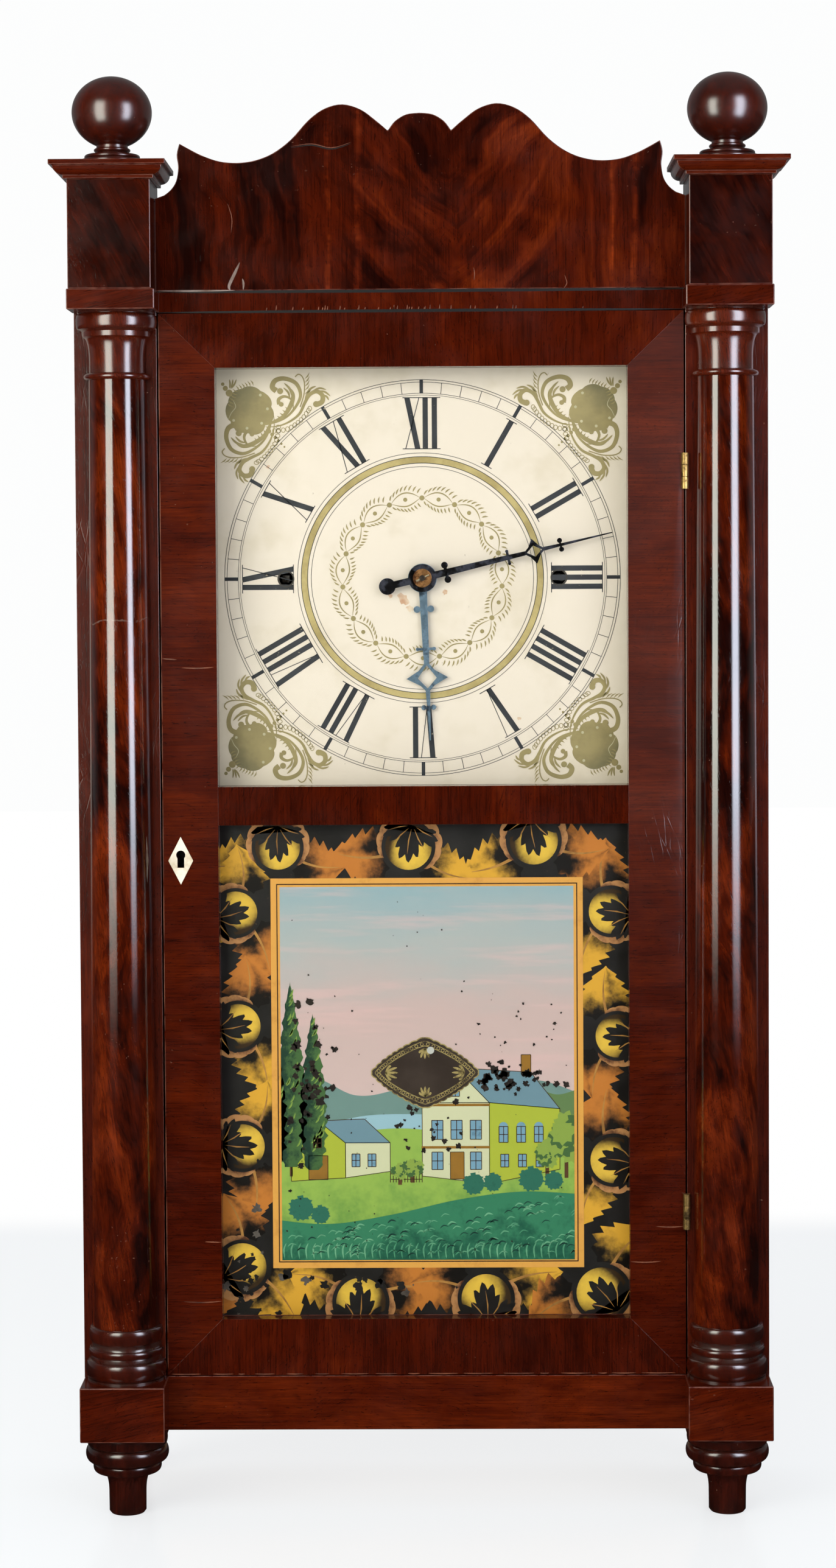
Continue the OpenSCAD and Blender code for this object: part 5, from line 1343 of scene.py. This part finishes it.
        def window(x, z, w, h, round_top=False):
            top = [(x + w / 2 + w / 2 * math.cos(math.pi * t / 8), z + h + w / 2 * math.sin(math.pi * t / 8))
                   for t in range(9)] if round_top else [(x + w, z + h), (x, z + h)]
            quad([(x, z), (x + w, z), *top], pane, 22, False)
            for a, b in (((x + w / 2, z), (x + w / 2, z + h)), ((x, z + h / 2), (x + w, z + h / 2)),
                         ((x, z), (x, z + h)), ((x + w, z), (x + w, z + h)), ((x, z), (x + w, z)),
                         ((x, z + h), (x + w, z + h))):
                sheet.line(a, b, 0.5, line, 23)
        quad([(-2, 208), (40, 203), (40, 254), (-2, 254)], cream, 20)
        quad([(-2, 254), (40, 254), (19, 276)], cream, 20)
        quad([(40, 203), (84, 212), (84, 250), (40, 254)], lime, 20)
        quad([(40, 254), (84, 250), (66, 273), (19, 276)], slate, 20)
        for x in (4, 16, 28):
            window(x, 231, 7, 12)
        for x in (4, 28):
            window(x, 212, 7, 11)
        window(16.4, 258, 5, 6, True)
        block(15.5, 206, 8.6, 17, ochre)
        for x in (46, 57, 68):
            window(x, 229, 5.6, 10, True)
            window(x + 1, 213.5, 5, 8)
        for z in (226, 252.6):
            sheet.ribbon([(-2.5, z), (19, z), (40.4, z)], 1.6, ochre, 22)
        quad([(60, 272), (60, 284), (66, 284), (66, 270)], ochre, 21)
        quad([(-84, 205), (-50, 207), (-50, 229), (-67, 243), (-84, 229)], lime, 20)
        quad([(-50, 207), (-22, 211), (-22, 229), (-50, 229)], cream, 20)
        quad([(-50, 229), (-22, 229), (-38, 244), (-67, 243)], slate, 20)
        block(-73, 206, 12, 15, ochre)
        window(-70, 226, 5, 6, True)
        for x in (-46, -36):
            window(x, 214, 5, 8)
        for i in range(12):
            sheet.ribbon([(-22 + 1.8 * i, 204), (-22 + 1.8 * i, 208), (-22 + 1.8 * i, 211)], 0.5, line, 22)
        for z in (206, 209.4):
            sheet.ribbon([(-22, z), (-12, z), (-2, z)], 0.5, line, 22)

    def trees(self, sheet):
        leaf = shaded_paint("tablet_foliage", linear(66, 100, 52), linear(26, 56, 40), 0.5, 160)
        lit = shaded_paint("tablet_foliage_light", linear(136, 160, 66), linear(84, 120, 56), 0.4, 160)
        trunk = paint("tablet_trunk", linear(92, 60, 32))
        for x, z, tall, wide in ((-84, 214, 118, 9), (-70, 212, 100, 8), (-96, 214, 92, 9)):
            sheet.ribbon([(x, z - 6), (x, z + 6), (x, z + 20)], 1.8, trunk, 20)

            def place(u, v):
                w = wide * math.sin(math.pi * min(1, u + 0.03) ** 0.62) ** 0.75 * (
                    1 + 0.13 * math.sin(u * 70 + x) + 0.08 * math.sin(u * 131 + 2 * x))
                return x + w * (2 * v - 1), z + tall * u, 0.9 * (1 - v)
            sheet.patch(60, 5, place, leaf, 22, False)
            for i in range(26):
                u = random.uniform(0.1, 0.92)
                dx = random.uniform(-0.2, 0.8) * wide * math.sin(math.pi * u ** 0.62)
                sheet.curve([(x + dx - 1.5, z + tall * u), (x + dx, z + tall * u + 2),
                             (x + dx + 1, z + tall * u + 5)], 3, 1.3, lit, 23, 1)
        for x, z, r in ((88, 232, 15), (76, 222, 9), (-8, 214, 6), (-16, 211, 5)):
            sheet.ribbon([(x, z - r * 1.7), (x, z - r), (x, z)], 2.4, trunk, 21)
            for i in range(9):
                spot = polar((x, z), r * random.uniform(0.2, 0.75), 40 * i)
                sheet.tuft(spot, r * 0.48, 0.18, 2.1, i, leaf if i % 2 else lit, 21.6 + 0.3 * i, 24)
        bush = shaded_paint("tablet_bush", linear(40, 104, 84), linear(20, 70, 58), 0.5, 160)
        for x, z, r in ((-78, 188, 8), (-66, 184, 6), (30, 203, 7), (42, 204, 6), (66, 206, 8), (80, 205, 6)):
            for i in range(7):
                sheet.tuft(polar((x, z), r * 0.6, 50 * i), r * 0.4, 0.25, 2.4, i, bush, 24.3 + 0.25 * i)
            sheet.tuft((x, z), r * 0.5, 0.2, 1.9, 0, bush, 26.1)

    def medallion(self):
        sheet = Painting(TABLET_BACK)
        ground = flecked("tablet_medallion", linear(50, 39, 31), linear(78, 64, 48), 0.1, 0.35)
        gilt = metal("tablet_gilt", (176, 156, 96), (104, 88, 52), 0.45, 0.45, 0.4, 0.1)
        x0, z0, w, h = 0, 273, 33.6, 22.2

        def rim(t, grow=0.0, lobes=0.0):
            c, s_ = math.cos(t), math.sin(t)
            reach = 1 / (abs(c) ** 1.25 + abs(s_) ** 1.25) ** 0.8
            return (x0 + (w + grow) * reach * c * (1 + lobes), z0 + (h + grow) * reach * s_ * (1 + lobes))
        turn = [2 * math.pi * i / 144 for i in range(144)]
        sheet.blob([rim(t, 0, 0.03 * abs(math.sin(t * 18))) for t in turn], ground, 27)
        for grow, thick in ((-0.4, 0.7), (-2.4, 0.35), (-5.4, 0.45)):
            sheet.ribbon([rim(t, grow, 0.03 * abs(math.sin(t * 18)) if grow > -1 else 0)
                          for t in turn + turn[:1]], thick, gilt, 28)
        for i in range(48):
            t = 2 * math.pi * (i + 0.5) / 48
            sheet.ring(rim(t, -3.9), 0.75, 1.15, gilt, 28, 12)
        for way, reach, r in ((0, h, 1), (180, h, 1), (90, w, 1.25), (270, w, 1.25)):
            foot = polar((x0, z0), reach - 7 * r, way)
            for spread in (-48, -24, 0, 24, 48):
                tip = polar(foot, -6.5 * r if abs(spread) < 40 else -4.5 * r, way + spread)
                middle = polar(foot, -3.6 * r, way + spread * 1.2)
                sheet.curve([foot, middle, tip], 4, 1.5, gilt, 28, 1)
        loss = paint("tablet_loss", linear(30, 24, 20), linear(44, 34, 26))
        random.seed(5)
        spots = [(random.gauss(-76, 7), random.gauss(268, 22), random.uniform(0.8, 3)) for i in range(46)]
        spots += [(random.gauss(6, 14), random.gauss(238, 10), random.uniform(0.5, 2)) for i in range(26)]
        spots += [(random.gauss(50, 15), 268 + random.gauss(0, 4), random.uniform(0.8, 3)) for i in range(40)]
        spots += [(random.gauss(40, 26), random.gauss(300, 14), random.uniform(0.4, 1.2)) for i in range(16)]
        spots += [(random.uniform(-88, 90), random.uniform(160, 386), random.uniform(0.2, 0.7))
                  for i in range(70)]
        for x, z, r in spots:
            if math.hypot((x - x0) / w, (z - z0) / h) < 0.95 or not (-88.5 < x - r and x + r < 91.5):
                continue
            sheet.chip((x, z), r, 0.55, 1.35, loss, 29)
        sheet.dot((x0 + 3.5, z0 + 14), 2.3, paint("tablet_chip", linear(196, 196, 188)), 29)
        sheet.hang("tablet_medallion", "door")


class CLOCK_OT_movement(bpy.types.Operator):
    """Finishes the movement, the weights and the cords"""
    bl_idname = "clock.movement"
    bl_label = "Movement"

    def execute(self, context):
        cherry = raw_wood("cherry_wheels", "Z", (168, 108, 62), (120, 70, 38))
        oak = raw_wood("oak_plates", "Z", (104, 72, 44), (60, 40, 26))
        brass = metal("brass_dull", (190, 150, 84), (104, 76, 40), 0.32, 0.5)
        iron = metal("iron_cast", (70, 66, 62), (40, 34, 30), 0.55, 0.5)
        wire = metal("iron_wire", (120, 114, 106), (60, 48, 40), 0.4, 0.5)
        cord = raw_wood("cord_hemp", "Z", (176, 156, 116), (118, 98, 66))
        for finish, nodes in (
                (oak, "movement_rails movement_plates"),
                (brass, "bell pendulum_cock escape_wheel pendulum"),
                (wire, "verge hammer strike_lever pulley_axles"),
                (iron, "time_weight strike_weight time_drum strike_drum"),
                (cord, "cord_runs time_cord_drop strike_cord_drop"),
                (cherry, "minute_wheel time_great_wheel time_second_arbor time_third_arbor time_pulley "
                         "strike_great_wheel strike_third_arbor strike_pulley pin_wheel fly count_wheel")):
            for node in nodes.split():
                set_finish(node, finish)
        for train in ("time", "strike"):
            low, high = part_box(f"{train}_cord_drop")
            middle = (low + high) / 2
            drop = rubbed(f"{train}_cord_drop", f"{train}_cord_hanging", None, 0.2, [cord, cord],
                          angle=40)
            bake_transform(drop, "case", f"{train}_weight", start=(middle.x, middle.y, high.z),
                     end=(middle.x, middle.y, low.z))
        return {"FINISHED"}


OPERATORS = (CLOCK_OT_stage, CLOCK_OT_case, CLOCK_OT_turnings, CLOCK_OT_door, CLOCK_OT_dial, CLOCK_OT_tablet,
             CLOCK_OT_movement)


class CLOCK_PT_panel(bpy.types.Panel):
    """Lists the pieces of the clock"""
    bl_label = "Shelf clock"
    bl_idname = "CLOCK_PT_panel"
    bl_space_type = "VIEW_3D"
    bl_region_type = "UI"
    bl_category = "Clock"

    def draw(self, context):
        for group, kind in GROUPS.items():
            box = self.layout.box()
            for key in kind.__annotations__:
                box.prop(getattr(context.scene, group), key)
        for operator in OPERATORS:
            self.layout.operator(operator.bl_idname)


CLASSES = (*GROUPS.values(), *OPERATORS, CLOCK_PT_panel)


def register():
    for kind in CLASSES:
        bpy.utils.register_class(kind)
    for name, kind in GROUPS.items():
        setattr(bpy.types.Scene, name, bpy.props.PointerProperty(type=kind))


def unregister():
    for name in GROUPS:
        delattr(bpy.types.Scene, name)
    for kind in reversed(CLASSES):
        bpy.utils.unregister_class(kind)


def main():
    register()
    bpy.ops.clock.stage()
    bpy.ops.clock.case()
    bpy.ops.clock.turnings()
    bpy.ops.clock.door()
    bpy.ops.clock.dial()
    bpy.ops.clock.tablet()
    bpy.ops.clock.movement()


if __name__ == "__main__":
    main()
